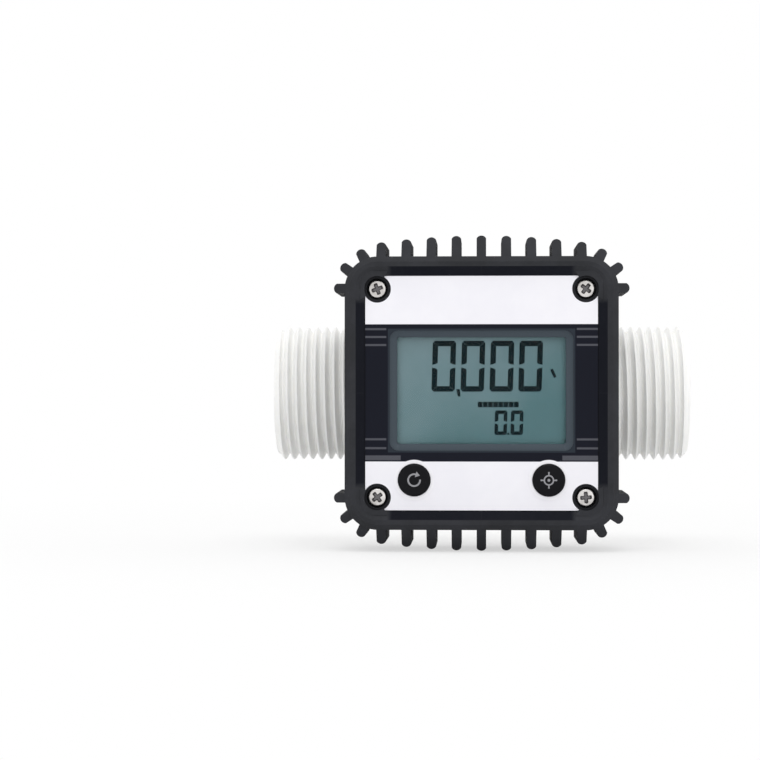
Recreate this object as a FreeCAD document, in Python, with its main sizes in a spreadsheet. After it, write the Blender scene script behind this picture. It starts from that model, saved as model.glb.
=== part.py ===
"""Turbine flow meter with a battery head: two G1 male ports, a magnet rotor between two flow
straighteners, a sealed display head and a finned rubber boot. Millimetres.

Frame: the origin is the centre of the inlet port's end face, on the flow axis. +X is the way the
liquid flows, +Z is up, and the display looks towards -Y. Each body is drawn about the middle of the
flow axis and its Placement carries it there. A depth is a distance towards the display, along -Y.
"""

import FreeCAD, Part

import os
import re

import Sketcher
from FreeCAD import Placement, Rotation, Vector

os.makedirs("parts", exist_ok=True)
document = FreeCAD.newDocument("TurbineFlowMeter")

# ---------------------------------------------------------------- driving dimensions

driving_dimensions = [
    # flow tube
    ("face_to_face", 102.0),
    ("thread_major", 33.249),
    ("thread_length", 18.0),
    ("thread_chamfer", 1.7),
    ("neck_diameter", 29.6),
    ("neck_length", 3.5),
    ("barrel_diameter", 37.0),
    ("barrel_chamfer", 1.2),
    ("port_bore", 25.2),
    ("mouth_bore", 25.8),
    ("mouth_length", 17.0),
    ("chamber_bore", 24.0),
    ("chamber_length", 20.0),
    # saddle and flange that carry the head
    ("saddle_length", 46.0),
    ("saddle_height", 34.0),
    ("barrel_flat", 1.7),
    ("flange_thickness", 4.6),
    ("rib_thickness", 2.0),
    ("rib_pitch", 20.0),
    ("rib_inset", 3.5),
    ("sensor_wall", 1.8),
    ("seal_ring_diameter", 16.0),
    ("seal_ring_section", 1.3),
    # flow straighteners, their retaining rings and the bearings
    ("guide_slip", 0.05),
    ("guide_wall", 1.3),
    ("guide_length", 14.0),
    ("vane_thickness", 1.2),
    ("vane_count", 6),
    ("hub_diameter", 9.2),
    ("hub_gap", 0.7),
    ("nose_length", 7.0),
    ("nose_tip", 1.2),
    ("clip_thickness", 1.2),
    ("clip_width", 1.9),
    ("clip_gap", 0.1),
    ("clip_opening", 4.4),
    ("clip_ear", 1.5),
    ("clip_eye", 0.7),
    ("groove_reach", 0.8),
    ("bearing_diameter", 4.8),
    ("bearing_length", 5.2),
    ("bearing_gap", 0.3),
    ("bearing_cap", 0.4),
    # rotor
    ("rotor_length", 15.0),
    ("rotor_chamfer", 0.6),
    ("blade_count", 5),
    ("blade_length", 12.0),
    ("blade_thickness", 1.1),
    ("blade_twist", 54.0),
    ("blade_root", 0.6),
    ("tip_gap", 0.5),
    ("shaft_diameter", 2.0),
    ("shaft_gap", 0.04),
    ("shaft_float", 0.1),
    ("magnet_diameter", 2.4),
    ("magnet_length", 3.0),
    ("magnet_offset", 2.9),
    # head: tray, gasket, cover and screws
    ("head_corner", 5.0),
    ("head_wall", 2.0),
    ("tray_floor", 1.5),
    ("gasket_thickness", 0.8),
    ("cover_depth", 5.0),
    ("cover_wall", 1.8),
    ("screw_edge", 4.9),
    ("screw_diameter", 3.0),
    ("screw_bite", 3.2),
    ("screw_head", 4.5),
    ("screw_head_height", 1.6),
    ("screw_gap", 0.25),
    ("column_width", 7.2),
    ("insert_width", 5.0),
    ("insert_length", 4.0),
    ("insert_gap", 0.05),
    # cells and their cradle
    ("cell_diameter", 10.5),
    ("cell_length", 44.5),
    ("cell_spacing", 6.5),
    ("cell_gap", 0.15),
    ("cell_nub", 0.8),
    ("cell_nub_diameter", 3.8),
    ("cell_edge", 0.5),
    ("cradle_floor", 0.8),
    ("cradle_wall", 1.0),
    ("cradle_rail", 6.0),
    ("cradle_end_gap", 1.3),
    ("cradle_side_gap", 1.9),
    ("tab_thickness", 0.4),
    ("tab_width", 7.0),
    ("spring_length", 3.9),
    ("spring_thickness", 0.4),
    ("spring_width", 5.0),
    ("spring_span", 6.4),
    ("spring_crest", 1.6),
    # circuit board and what stands on it
    ("board_gap", 0.45),
    ("board_thickness", 1.2),
    ("board_edge_gap", 0.6),
    ("post_width", 4.0),
    ("post_inset", 3.0),
    ("board_screw_diameter", 1.9),
    ("board_screw_head", 3.6),
    ("board_screw_head_height", 1.2),
    ("board_screw_length", 5.0),
    ("board_screw_gap", 0.15),
    ("chip_width", 9.0),
    ("chip_thickness", 1.0),
    ("small_chip_width", 1.6),
    ("small_chip_height", 3.2),
    ("small_chip_thickness", 1.1),
    ("small_chip_pitch", 5.0),
    ("small_chip_inset", 5.5),
    ("sensor_width", 6.2),
    ("sensor_height", 4.4),
    ("sensor_gap", 0.2),
    # display
    ("zebra_width", 1.8),
    ("zebra_end_gap", 2.5),
    ("zebra_height", 1.6),
    ("glass_side", 8.0),
    ("glass_above", 14.15),
    ("glass_below", 15.35),
    ("glass_ledge", 2.0),
    ("glass_thickness", 0.8),
    ("carrier_wall", 1.0),
    ("carrier_gap", 0.1),
    ("display_gap", 0.4),
    ("lens_ledge_across", 1.5),
    ("lens_ledge_up", 1.2),
    ("lens_thickness", 0.8),
    ("lens_gap", 0.1),
    ("window_inset_across", 1.6),
    ("window_inset_up", 1.15),
    ("window_corner", 0.6),
    ("window_lip", 0.2),
    ("bezel_across", 1.75),
    ("bezel_up", 1.6),
    ("overlay_margin_across", 2.1),
    ("overlay_margin_up", 1.85),
    ("overlay_corner", 2.5),
    ("overlay_thickness", 0.4),
    ("overlay_screw_gap", 1.0),
    # buttons
    ("button_diameter", 7.7),
    ("button_side", 13.65),
    ("button_end", 9.0),
    ("button_gap", 0.3),
    ("button_proud", 0.8),
    ("button_edge", 0.4),
    ("button_flange_reach", 0.65),
    ("button_flange_thickness", 1.0),
    ("button_press_room", 0.9),
    ("button_seal_section", 0.7),
    ("button_seal_gap", 0.15),
    ("button_seal_play", 0.05),
    ("switch_width", 3.6),
    ("switch_height", 1.6),
    ("plunger_diameter", 1.8),
    ("plunger_length", 1.6),
    ("plunger_gap", 0.1),
    ("plunger_room", 0.6),
    # rubber boot
    ("boot_gap", 0.3),
    ("boot_wall", 2.5),
    ("boot_back_lip", 1.6),
    ("boot_back_reach", 2.8),
    ("boot_rise", 1.2),
    ("boot_lip_gap", 0.15),
    ("boot_slope", 2.1),
    ("boot_web_spread", 2.6),
    ("boot_web_drop", 0.5),
    ("boot_web_gap", 0.8),
    ("boot_edge", 1.3),
    ("boot_nub_width", 1.0),
    ("boot_nub_length", 6.0),
    ("boot_nub_proud", 0.4),
    ("fin_width", 2.25),
    ("fin_tip_radius", 1.25),
    ("fin_row_gap", 0.78),
    ("fin_rows", 4),
    ("fin_height", 5.2),
    ("fin_crown", 170.0),
    ("fin_sink", 1.2),
    ("fin_setback", 3.2),
    ("fin_depth", 23.4),
    ("fin_nose", 7.0),
    ("fin_tail", 2.0),
    ("corner_fin_reach", 10.5),
    ("corner_fin_first", 25.0),
    ("corner_fin_step", 31.5),
]

# sizes that follow from the ones above: the cells set the head's width, and the head carries the rest
derived_dimensions = [
    ("cell_pitch", "cell_diameter + cell_spacing"),
    ("cradle_room", "(cell_length + spring_length) / 2 + tab_thickness + cradle_wall"),
    ("head_width", "2 * (cradle_room + cradle_side_gap + head_wall)"),
    ("rib_reach", "head_width / 2 - rib_inset"),
    ("screw_pitch", "head_width - 2 * screw_edge"),
    ("post_pitch_across", "screw_pitch - column_width - 2 * post_inset"),
    ("post_pitch_up", "head_width - 2 * (head_wall + post_inset)"),
    ("small_chip_rise", "head_width / 2 - head_wall - small_chip_inset"),
    ("glass_width", "head_width - 2 * glass_side"),
    ("glass_height", "head_width - glass_above - glass_below"),
    ("display_rise", "(glass_below - glass_above) / 2"),
    ("zebra_length", "glass_width - 2 * zebra_end_gap"),
    ("window_width", "glass_width - 2 * window_inset_across"),
    ("window_height", "glass_height - glass_ledge - 2 * window_inset_up"),
    ("lens_width", "window_width + 2 * lens_ledge_across"),
    ("lens_height", "window_height + 2 * lens_ledge_up"),
    ("bezel_width", "window_width + 2 * bezel_across"),
    ("bezel_height", "window_height + 2 * bezel_up"),
    ("bezel_corner", "window_corner + bezel_up"),
    ("overlay_width", "head_width - 2 * overlay_margin_across"),
    ("overlay_height", "head_width - 2 * overlay_margin_up"),
    ("overlay_screw_hole", "screw_head + 2 * overlay_screw_gap"),
    ("button_pitch", "head_width - 2 * button_side"),
    ("button_drop", "head_width / 2 - button_end"),
    ("button_flange", "button_diameter + 2 * button_flange_reach"),
    ("boot_cavity", "head_width + 2 * boot_gap"),
    ("boot_width", "boot_cavity + 2 * boot_wall"),
    ("boot_corner", "head_corner + boot_gap + boot_wall"),
    ("fin_reach", "boot_width / 2 + fin_height"),
    ("fin_pitch", "(boot_width / 2 - boot_corner - fin_row_gap) / fin_rows"),
]

sheet = document.addObject("Spreadsheet::Sheet", "Sizes")
cells = [(alias, str(size)) for alias, size in driving_dimensions]
cells += [(alias, f"={expression}") for alias, expression in derived_dimensions]
for row, (alias, content) in enumerate(cells, start=1):
    sheet.set(f"A{row}", alias)
    sheet.set(f"B{row}", content)
    sheet.setAlias(f"B{row}", alias)
document.recompute()
aliases = {alias for alias, content in cells}

# ---------------------------------------------------------------- drawing tools

def bound(expression):
    """Point each size named in an expression at its cell in the sheet."""
    return re.sub(
        r"[a-z][a-z_]+",
        lambda word: f"Sizes.{word[0]}" if word[0] in aliases else word[0],
        expression,
    )


def measure(expression):
    """Give the number that an expression over the sheet stands for now."""
    return float(sheet.evalExpression(bound(expression)))


def bind(item, **properties):
    """Tie properties of an object to expressions over the sheet; __ stands for a dot."""
    for name, expression in properties.items():
        item.setExpression(name.replace("__", "."), bound(expression))


def new_body(label, across="0", depth="0", up="0"):
    """Start a body whose own origin lies at the given place from the middle of the flow axis."""
    body = document.addObject("PartDesign::Body", label)
    body.Label = label
    bind(
        body,
        Placement__Base__x=f"face_to_face / 2 + {across}",
        Placement__Base__y=f"-1 * ({depth})",
        Placement__Base__z=up,
    )
    return body


def origin_item(body, role):
    return next(item for item in body.Origin.OriginFeatures if item.Role == role)


def new_sketch(body, name, plane, offset="0", turn="0"):
    """Attach a sketch to one of the body's origin planes, moved along its normal and turned."""
    sketch = body.newObject("Sketcher::SketchObject", f"{body.Name}_{name}")
    sketch.AttachmentSupport = [(origin_item(body, plane), "")]
    sketch.MapMode = "FlatFace"
    sketch.AttachmentOffset = Placement(Vector(0, 0, 0), Rotation(Vector(0, 0, 1), 1))
    bind(sketch, AttachmentOffset__Base__z=offset, AttachmentOffset__Rotation__Angle=turn)
    return sketch


def face_sketch(body, name, depth):
    """A sketch that faces the display's way, x across and y up, at a depth from the flow axis."""
    return new_sketch(body, name, "XZ_Plane", depth)


def constrain(sketch, rows):
    """Add constraints in one go; a row is kind, references, and an expression where it has one."""
    numbers = [
        Sketcher.Constraint(kind, *references, measure(expression))
        if expression
        else Sketcher.Constraint(kind, *references)
        for kind, references, expression in rows
    ]
    first = sketch.ConstraintCount
    sketch.addConstraint(numbers)
    for index, (kind, references, expression) in enumerate(rows, start=first):
        if expression:
            sketch.setExpression(f"Constraints[{index}]", bound(expression))


def held(geometry, point, across, up):
    """Rows that hold a point of the sketch at two expressions from the sketch's origin."""
    return [
        ("DistanceX", (-1, 1, geometry, point), across),
        ("DistanceY", (-1, 1, geometry, point), up),
    ]


def circle(sketch, radius, across="0", up="0"):
    centre = Vector(measure(across), measure(up), 0)
    index = sketch.addGeometry(Part.Circle(centre, Vector(0, 0, 1), measure(radius)), False)
    constrain(sketch, held(index, 3, across, up) + [("Radius", (index,), radius)])


def outline(sketch, corners, rounds=None):
    """Draw a closed outline through corners given as pairs of expressions.

    Sides are straight, apart from those that rounds names by number: such a side is an arc, given
    as its radius and which hand its centre lies on, 1 for the left of the way round, -1 for the
    right.
    """
    rounds = rounds or {}
    points = [Vector(measure(across), measure(up), 0) for across, up in corners]
    first = sketch.GeometryCount
    starts = {}
    ends = {}
    for index, start in enumerate(points):
        end = points[(index + 1) % len(points)]
        side = Part.LineSegment(start, end)
        starts[index], ends[index] = 1, 2
        if index in rounds:
            radius, hand = rounds[index]
            chord = end - start
            inward = Vector(-chord.y, chord.x, 0).normalize() * hand
            rise = (measure(radius) ** 2 - (chord.Length / 2) ** 2) ** 0.5
            centre = (start + end) * 0.5 + inward * rise
            middle = centre - inward * measure(radius)
            side = Part.Arc(start, middle, end)
            if hand < 0:
                starts[index], ends[index] = 2, 1
        sketch.addGeometry(side, False)
    rows = []
    for index, (across, up) in enumerate(corners):
        following = (index + 1) % len(points)
        here = (first + index, ends[index], first + following, starts[following])
        rows.append(("Coincident", here, None))
        rows += held(first + index, starts[index], across, up)
        if index in rounds:
            rows.append(("Radius", (first + index,), rounds[index][0]))
    constrain(sketch, rows)


def rounded_box(sketch, width, height, radius, up="0"):
    """Draw a rectangle with four equal corner arcs, centred across and at a height."""
    x, z = f"({width}) / 2", f"({height}) / 2"
    r = f"({radius})"
    corners = [
        (f"{r} - {x}", f"{up} - {z}"), (f"{x} - {r}", f"{up} - {z}"),
        (x, f"{up} - {z} + {r}"), (x, f"{up} + {z} - {r}"),
        (f"{x} - {r}", f"{up} + {z}"), (f"{r} - {x}", f"{up} + {z}"),
        (f"-1 * {x}", f"{up} + {z} - {r}"), (f"-1 * {x}", f"{up} - {z} + {r}"),
    ]
    outline(sketch, corners, {side: (radius, 1) for side in (1, 3, 5, 7)})


def cross(sketch, half, notch):
    """Draw a square of the given half width with a square notch left out of each corner."""
    corners = []
    for across, up, turned in ((1, -1, False), (1, 1, True), (-1, 1, False), (-1, -1, True)):
        near, mid, far = (
            (f"{across} * {notch}", f"{up} * {half}"),
            (f"{across} * {notch}", f"{up} * {notch}"),
            (f"{across} * {half}", f"{up} * {notch}"),
        )
        corners += [far, mid, near] if turned else [near, mid, far]
    outline(sketch, corners)


def box(sketch, left, right, bottom, top):
    outline(sketch, [(left, bottom), (right, bottom), (right, top), (left, top)])


def centred_box(sketch, width, height, up="0"):
    x, z = f"({width}) / 2", f"({height}) / 2"
    box(sketch, f"-1 * {x}", x, f"{up} - {z}", f"{up} + {z}")


def add_feature(body, kind, sketch, suffix, **properties):
    """Make a feature of the body from a sketch and move the body's tip to it."""
    feature = body.newObject(f"PartDesign::{kind}", f"{sketch.Name}_{suffix}")
    feature.Profile = sketch
    bind(feature, **properties)
    body.Tip = feature
    return feature


def pad(body, sketch, length, symmetric=False):
    feature = add_feature(body, "Pad", sketch, "pad", Length=length)
    feature.Midplane = symmetric
    return feature


def pocket(body, sketch, length, forward=False):
    """Cut away from the display, or towards it where forward is set."""
    feature = add_feature(body, "Pocket", sketch, "pocket", Length=length)
    feature.Reversed = forward
    return feature


def revolve(body, sketch, axis="H_Axis"):
    feature = add_feature(body, "Revolution", sketch, "revolution")
    feature.ReferenceAxis = (sketch, [axis])
    feature.Angle = 360
    return feature


def groove(body, sketch, axis="H_Axis"):
    feature = add_feature(body, "Groove", sketch, "groove")
    feature.ReferenceAxis = (sketch, [axis])
    feature.Angle = 360
    return feature


def polar(body, feature, axis, count):
    """Repeat a feature round one of the body's own axes."""
    pattern = body.newObject("PartDesign::PolarPattern", f"{feature.Name}_pattern")
    pattern.Originals = [feature]
    pattern.Axis = (origin_item(body, axis), [""])
    pattern.Angle = 360
    bind(pattern, Occurrences=count)
    body.Tip = pattern
    return pattern


def four_circles(sketch, radius, pitch_across, pitch_up):
    """Circles at the four corners of a rectangle of the given pitches."""
    for across in (f"({pitch_across}) / 2", f"-1 * ({pitch_across}) / 2"):
        for up in (f"({pitch_up}) / 2", f"-1 * ({pitch_up}) / 2"):
            circle(sketch, radius, across, up)


def four_hexagons(sketch, width, pitch):
    """Regular hexagons, given across their corners, at the four corners of a square."""
    for across in (f"({pitch}) / 2", f"-1 * ({pitch}) / 2"):
        for up in (f"({pitch}) / 2", f"-1 * ({pitch}) / 2"):
            angles = [60 * step for step in range(6)]
            outline(sketch, [
                (f"{across} + {width} / 2 * cos({angle})", f"{up} + {width} / 2 * sin({angle})")
                for angle in angles
            ])


def four_boxes(sketch, width, pitch_across, pitch_up):
    """Squares at the four corners of a rectangle of the given pitches."""
    for across in (f"({pitch_across}) / 2", f"-1 * ({pitch_across}) / 2"):
        for up in (f"({pitch_up}) / 2", f"-1 * ({pitch_up}) / 2"):
            half = f"({width}) / 2"
            box(sketch, f"{across} - {half}", f"{across} + {half}", f"{up} - {half}", f"{up} + {half}")


def two_circles(sketch, radius, pitch_across, pitch_up):
    """Circles at the upper right and lower left corners of a rectangle of the given pitches."""
    for hand in (-1, 1):
        circle(sketch, radius, f"{hand} * ({pitch_across}) / 2", f"{hand} * ({pitch_up}) / 2")


def signed(side, expression):
    """The expression on the outlet's side for 1, or mirrored to the inlet's side for -1."""
    return f"{side} * ({expression})"


# ---------------------------------------------------------------- places shared by several pieces

half_length = "(face_to_face / 2)"
barrel_half = "(face_to_face / 2 - thread_length - neck_length)"
port_radius = "(port_bore / 2)"
chamber_radius = "(chamber_bore / 2)"
chamber_half = "(chamber_length / 2)"
guide_end = "(chamber_length / 2 + guide_length)"
groove_start = guide_end
groove_end = f"({guide_end} + clip_thickness + 2 * clip_gap)"
groove_radius = f"({port_radius} + groove_reach)"
rotor_half = "(rotor_length / 2)"
hub_start = f"({rotor_half} + hub_gap)"
bearing_start = f"({rotor_half} + bearing_gap)"
bearing_end = f"({bearing_start} + bearing_length)"
shaft_half = f"({bearing_end} - bearing_cap - shaft_float)"

head_seat = "(barrel_diameter / 2 - barrel_flat)"
flange_back = f"({head_seat} - flange_thickness)"
floor_front = f"({head_seat} + tray_floor)"
room_half = "(head_width / 2 - head_wall)"
room_notch = "(screw_pitch / 2 - column_width / 2)"
sensor_floor = f"({chamber_radius} + sensor_wall)"

cell_depth = f"({floor_front} + cradle_floor + cell_gap + cell_diameter / 2)"
cradle_half = "(cradle_room - cradle_wall)"
board_back = f"({cell_depth} + cell_diameter / 2 + board_gap)"
board_front = f"({board_back} + board_thickness)"
display_back = f"({board_front} + zebra_height)"
display_front = f"({display_back} + 2 * glass_thickness)"

cover_inside = f"({display_front} + display_gap)"
cover_front = f"({cover_inside} + cover_wall)"
cover_back = f"({cover_front} - cover_depth)"
tray_front = f"({cover_back} - gasket_thickness)"
overlay_front = f"({cover_front} + overlay_thickness)"
screw_seat = f"({overlay_front} - screw_head_height)"
insert_back = f"({head_seat} - insert_length)"
screw_end = f"({head_seat} - screw_bite)"
button_back = f"({board_front} + switch_height + button_press_room)"
seal_depth = f"(({cover_inside} + {cover_front}) / 2)"

boot_back = f"({flange_back} - boot_gap - boot_back_lip)"
boot_front = f"({overlay_front} + boot_rise)"

# ---------------------------------------------------------------- flow tube


def meter_body():
    """One nylon moulding: threaded ports, barrel, saddle, square flange and gusset ribs."""
    body = new_body("meter_body")
    tube = new_sketch(body, "tube", "XZ_Plane")
    right = [
        (half_length, "0"),
        (half_length, "thread_major / 2 - thread_chamfer"),
        (f"{half_length} - thread_chamfer", "thread_major / 2"),
        (f"{half_length} - thread_length", "thread_major / 2"),
        (f"{half_length} - thread_length", "neck_diameter / 2"),
        (barrel_half, "neck_diameter / 2"),
        (barrel_half, "barrel_diameter / 2 - barrel_chamfer"),
        (f"{barrel_half} - barrel_chamfer", "barrel_diameter / 2"),
    ]
    outline(tube, right + [(signed(-1, x), z) for x, z in reversed(right)])
    revolve(body, tube)
    saddle = face_sketch(body, "saddle", "0")
    centred_box(saddle, "saddle_length", "saddle_height")
    pad(body, saddle, flange_back)
    flat = face_sketch(body, "flat", head_seat)
    centred_box(flat, "head_width", "head_width")
    pocket(body, flat, "barrel_flat", forward=True)
    flange = face_sketch(body, "flange", flange_back)
    rounded_box(flange, "head_width", "head_width", "head_corner")
    pad(body, flange, "flange_thickness")
    for step in (-1, 0, 1):
        rib = new_sketch(body, f"rib{step + 1}", "YZ_Plane", f"{step} * rib_pitch")
        back = f"-1 * {flange_back}"
        root = "barrel_diameter / 2 - barrel_chamfer"
        outline(rib, [(back, "-1 * rib_reach"), (back, "rib_reach"), ("0", root), ("0", f"-1 * ({root})")])
        pad(body, rib, "rib_thickness", symmetric=True)
    bore = new_sketch(body, "bore", "XZ_Plane")
    right = [
        (half_length, "0"),
        (half_length, "mouth_bore / 2"),
        (f"{half_length} - mouth_length", "mouth_bore / 2"),
        (f"{half_length} - mouth_length", port_radius),
        (groove_end, port_radius),
        (groove_end, groove_radius),
        (groove_start, groove_radius),
        (groove_start, port_radius),
        (chamber_half, port_radius),
        (chamber_half, chamber_radius),
    ]
    outline(bore, right + [(signed(-1, x), z) for x, z in reversed(right)])
    groove(body, bore)
    inserts = face_sketch(body, "insert_pockets", head_seat)
    four_hexagons(inserts, "insert_width", "screw_pitch")
    pocket(body, inserts, "insert_length")
    sensor = face_sketch(body, "sensor_pocket", head_seat)
    centred_box(sensor, "sensor_width + 2 * sensor_gap", "sensor_height + 2 * sensor_gap")
    pocket(body, sensor, f"{head_seat} - {sensor_floor}")
    ring = face_sketch(body, "ring_groove", head_seat)
    circle(ring, "seal_ring_diameter / 2 + seal_ring_section / 2")
    circle(ring, "seal_ring_diameter / 2 - seal_ring_section / 2")
    pocket(body, ring, "seal_ring_section")
    return body


def screw_inserts():
    """Four six-sided brass inserts moulded into the corners of the flange."""
    body = new_body("screw_inserts")
    sketch = face_sketch(body, "tubes", insert_back)
    four_hexagons(sketch, "insert_width", "screw_pitch")
    four_circles(sketch, "screw_diameter / 2 + insert_gap", "screw_pitch", "screw_pitch")
    pad(body, sketch, "insert_length")
    return body


def straightener(label, side):
    """Rim, hub with a round nose, and radial vanes that carry the rotor's bearing."""
    body = new_body(label)
    hub = new_sketch(body, "hub", "XZ_Plane")
    corners = [
        (signed(side, hub_start), "0"),
        (signed(side, hub_start), "hub_diameter / 2"),
        (signed(side, guide_end), "hub_diameter / 2"),
        (signed(side, f"{guide_end} + nose_length"), "nose_tip"),
        (signed(side, f"{guide_end} + nose_length"), "0"),
    ]
    drop = "(hub_diameter / 2 - nose_tip)"
    nose_radius = f"(nose_length ^ 2 + {drop} ^ 2) / (2 * {drop})"
    outline(hub, corners, {2: (nose_radius, -side)})
    revolve(body, hub)
    rim = new_sketch(body, "rim", "XZ_Plane")
    outside = f"{port_radius} - guide_slip"
    ends = (signed(side, chamber_half), signed(side, guide_end))
    box(rim, *ends, f"{outside} - guide_wall", outside)
    revolve(body, rim)
    vane = new_sketch(body, "vane", "XZ_Plane")
    box(vane, *ends, "hub_diameter / 2 - guide_wall / 2", f"{outside} - guide_wall / 2")
    polar(body, pad(body, vane, "vane_thickness", symmetric=True), "X_Axis", "vane_count")
    seat = new_sketch(body, "bearing_seat", "XZ_Plane")
    box(seat, signed(side, hub_start), signed(side, bearing_end), "0", "bearing_diameter / 2")
    groove(body, seat)
    return body


def retaining_ring(label, side):
    """Spring-steel clip in the bore's groove, open at the bottom, with two eyed ears."""
    body = new_body(label)
    near = f"{guide_end} + clip_gap"
    start = near if side > 0 else f"-1 * ({near} + clip_thickness)"
    outer = f"({groove_radius} - clip_gap)"
    ring = new_sketch(body, "ring", "YZ_Plane", start)
    circle(ring, outer)
    circle(ring, f"{outer} - clip_width")
    pad(body, ring, "clip_thickness")
    ear_across = "(clip_opening / 2 + clip_ear / 2)"
    ear_up = f"-1 * ({outer} - clip_width - clip_ear / 3)"
    ears = new_sketch(body, "ears", "YZ_Plane", start)
    for hand in (-1, 1):
        circle(ears, "clip_ear", f"{hand} * {ear_across}", ear_up)
    pad(body, ears, "clip_thickness")
    opening = new_sketch(body, "opening", "YZ_Plane", f"{start} + clip_thickness")
    box(opening, "-0.5 * clip_opening", "0.5 * clip_opening", f"-1 * {groove_radius}", "-1 * clip_width")
    pocket(body, opening, "clip_thickness")
    eyes = new_sketch(body, "eyes", "YZ_Plane", f"{start} + clip_thickness")
    for hand in (-1, 1):
        circle(eyes, "clip_eye", f"{hand} * {ear_across}", ear_up)
    pocket(body, eyes, "clip_thickness")
    return body


def bearing(label, side):
    """Plain cup bush for one end of the shaft."""
    body = new_body(label)
    cup = new_sketch(body, "cup", "XZ_Plane")
    bore = "shaft_diameter / 2 + shaft_gap"
    outline(cup, [
        (signed(side, bearing_start), bore),
        (signed(side, bearing_start), "bearing_diameter / 2"),
        (signed(side, bearing_end), "bearing_diameter / 2"),
        (signed(side, bearing_end), "0"),
        (signed(side, f"{bearing_end} - bearing_cap"), "0"),
        (signed(side, f"{bearing_end} - bearing_cap"), bore),
    ])
    revolve(body, cup)
    return body


def turbine_rotor():
    """Hub with twisted blades lofted through turned sections, their tips turned to size."""
    body = new_body("turbine_rotor")
    hub = new_sketch(body, "hub", "XZ_Plane")
    outline(hub, [
        (f"-1 * {rotor_half}", "shaft_diameter / 2"),
        (rotor_half, "shaft_diameter / 2"),
        (rotor_half, "hub_diameter / 2 - rotor_chamfer"),
        (f"{rotor_half} - rotor_chamfer", "hub_diameter / 2"),
        (f"rotor_chamfer - {rotor_half}", "hub_diameter / 2"),
        (f"-1 * {rotor_half}", "hub_diameter / 2 - rotor_chamfer"),
    ])
    revolve(body, hub)
    tip = f"({chamber_radius} - tip_gap)"
    sections = []
    for share in ("-1 / 2", "-1 / 6", "1 / 6", "1 / 2"):
        section = new_sketch(
            body, f"blade{len(sections)}", "YZ_Plane",
            f"blade_length * {share}", f"blade_twist * {share}",
        )
        foot = "hub_diameter / 2 - blade_root"
        box(section, "-0.5 * blade_thickness", "0.5 * blade_thickness", foot, f"{tip} + tip_gap")
        sections.append(section)
    blade = add_feature(body, "AdditiveLoft", sections[0], "loft")
    blade.Sections = sections[1:]
    polar(body, blade, "X_Axis", "blade_count")
    trim = new_sketch(body, "tip_trim", "XZ_Plane")
    box(trim, f"-1 * {rotor_half}", rotor_half, tip, f"{tip} + 2 * tip_gap")
    groove(body, trim)
    pockets = new_sketch(body, "magnet_pockets", "YZ_Plane", rotor_half)
    for hand in (-1, 1):
        circle(pockets, "magnet_diameter / 2", "0", f"{hand} * magnet_offset")
    pocket(body, pockets, "magnet_length")
    return body


def rotor_shaft():
    """Ground steel pin pressed through the hub."""
    shaft = document.addObject("Part::Cylinder", "rotor_shaft")
    shaft.Label = "rotor_shaft"
    shaft.Placement = Placement(Vector(0, 0, 0), Rotation(Vector(0, 1, 0), 90))
    bind(
        shaft,
        Radius="shaft_diameter / 2",
        Height=f"2 * {shaft_half}",
        Placement__Base__x=f"face_to_face / 2 - {shaft_half}",
    )
    return shaft


def rotor_magnets():
    """Two rod magnets in one end of the hub, flush with its face."""
    body = new_body("rotor_magnets")
    rods = new_sketch(body, "rods", "YZ_Plane", f"{rotor_half} - magnet_length")
    for hand in (-1, 1):
        circle(rods, "magnet_diameter / 2", "0", f"{hand} * magnet_offset")
    pad(body, rods, "magnet_length")
    return body


def seal_ring(label, ring_radius, section, depth, across="0", up="0"):
    """A rubber ring of six-sided section, rounded when squeezed; its axis points at the display."""
    body = new_body(label, across, depth, up)
    cut = new_sketch(body, "section", "XY_Plane")
    corners = []
    for step in range(6):
        angle = 60 * step
        corners.append((
            f"{ring_radius} + {section} / 2 * cos({angle})", f"{section} / 2 * sin({angle})",
        ))
    outline(cut, corners)
    revolve(body, cut, "V_Axis")
    return body


# ---------------------------------------------------------------- head


def head_base():
    """Black tray: floor, walls, four corner blocks for the screws and four board posts."""
    body = new_body("head_base")
    block = face_sketch(body, "block", head_seat)
    rounded_box(block, "head_width", "head_width", "head_corner")
    pad(body, block, f"{tray_front} - {head_seat}")
    room = face_sketch(body, "room", tray_front)
    cross(room, room_half, room_notch)
    pocket(body, room, f"{tray_front} - {floor_front}")
    posts = face_sketch(body, "posts", floor_front)
    four_boxes(posts, "post_width", "post_pitch_across", "post_pitch_up")
    pad(body, posts, f"{board_back} - {floor_front}")
    holes = face_sketch(body, "screw_holes", tray_front)
    four_circles(holes, "screw_diameter / 2 + screw_gap", "screw_pitch", "screw_pitch")
    pocket(body, holes, f"{tray_front} - {head_seat}")
    pilots = face_sketch(body, "pilot_holes", board_back)
    two_circles(pilots, "board_screw_diameter / 2", "post_pitch_across", "post_pitch_up")
    pocket(body, pilots, "board_screw_length")
    slot = face_sketch(body, "sensor_slot", floor_front)
    centred_box(slot, "sensor_width + 2 * sensor_gap", "sensor_height + 2 * sensor_gap")
    pocket(body, slot, "tray_floor")
    return body


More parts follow.
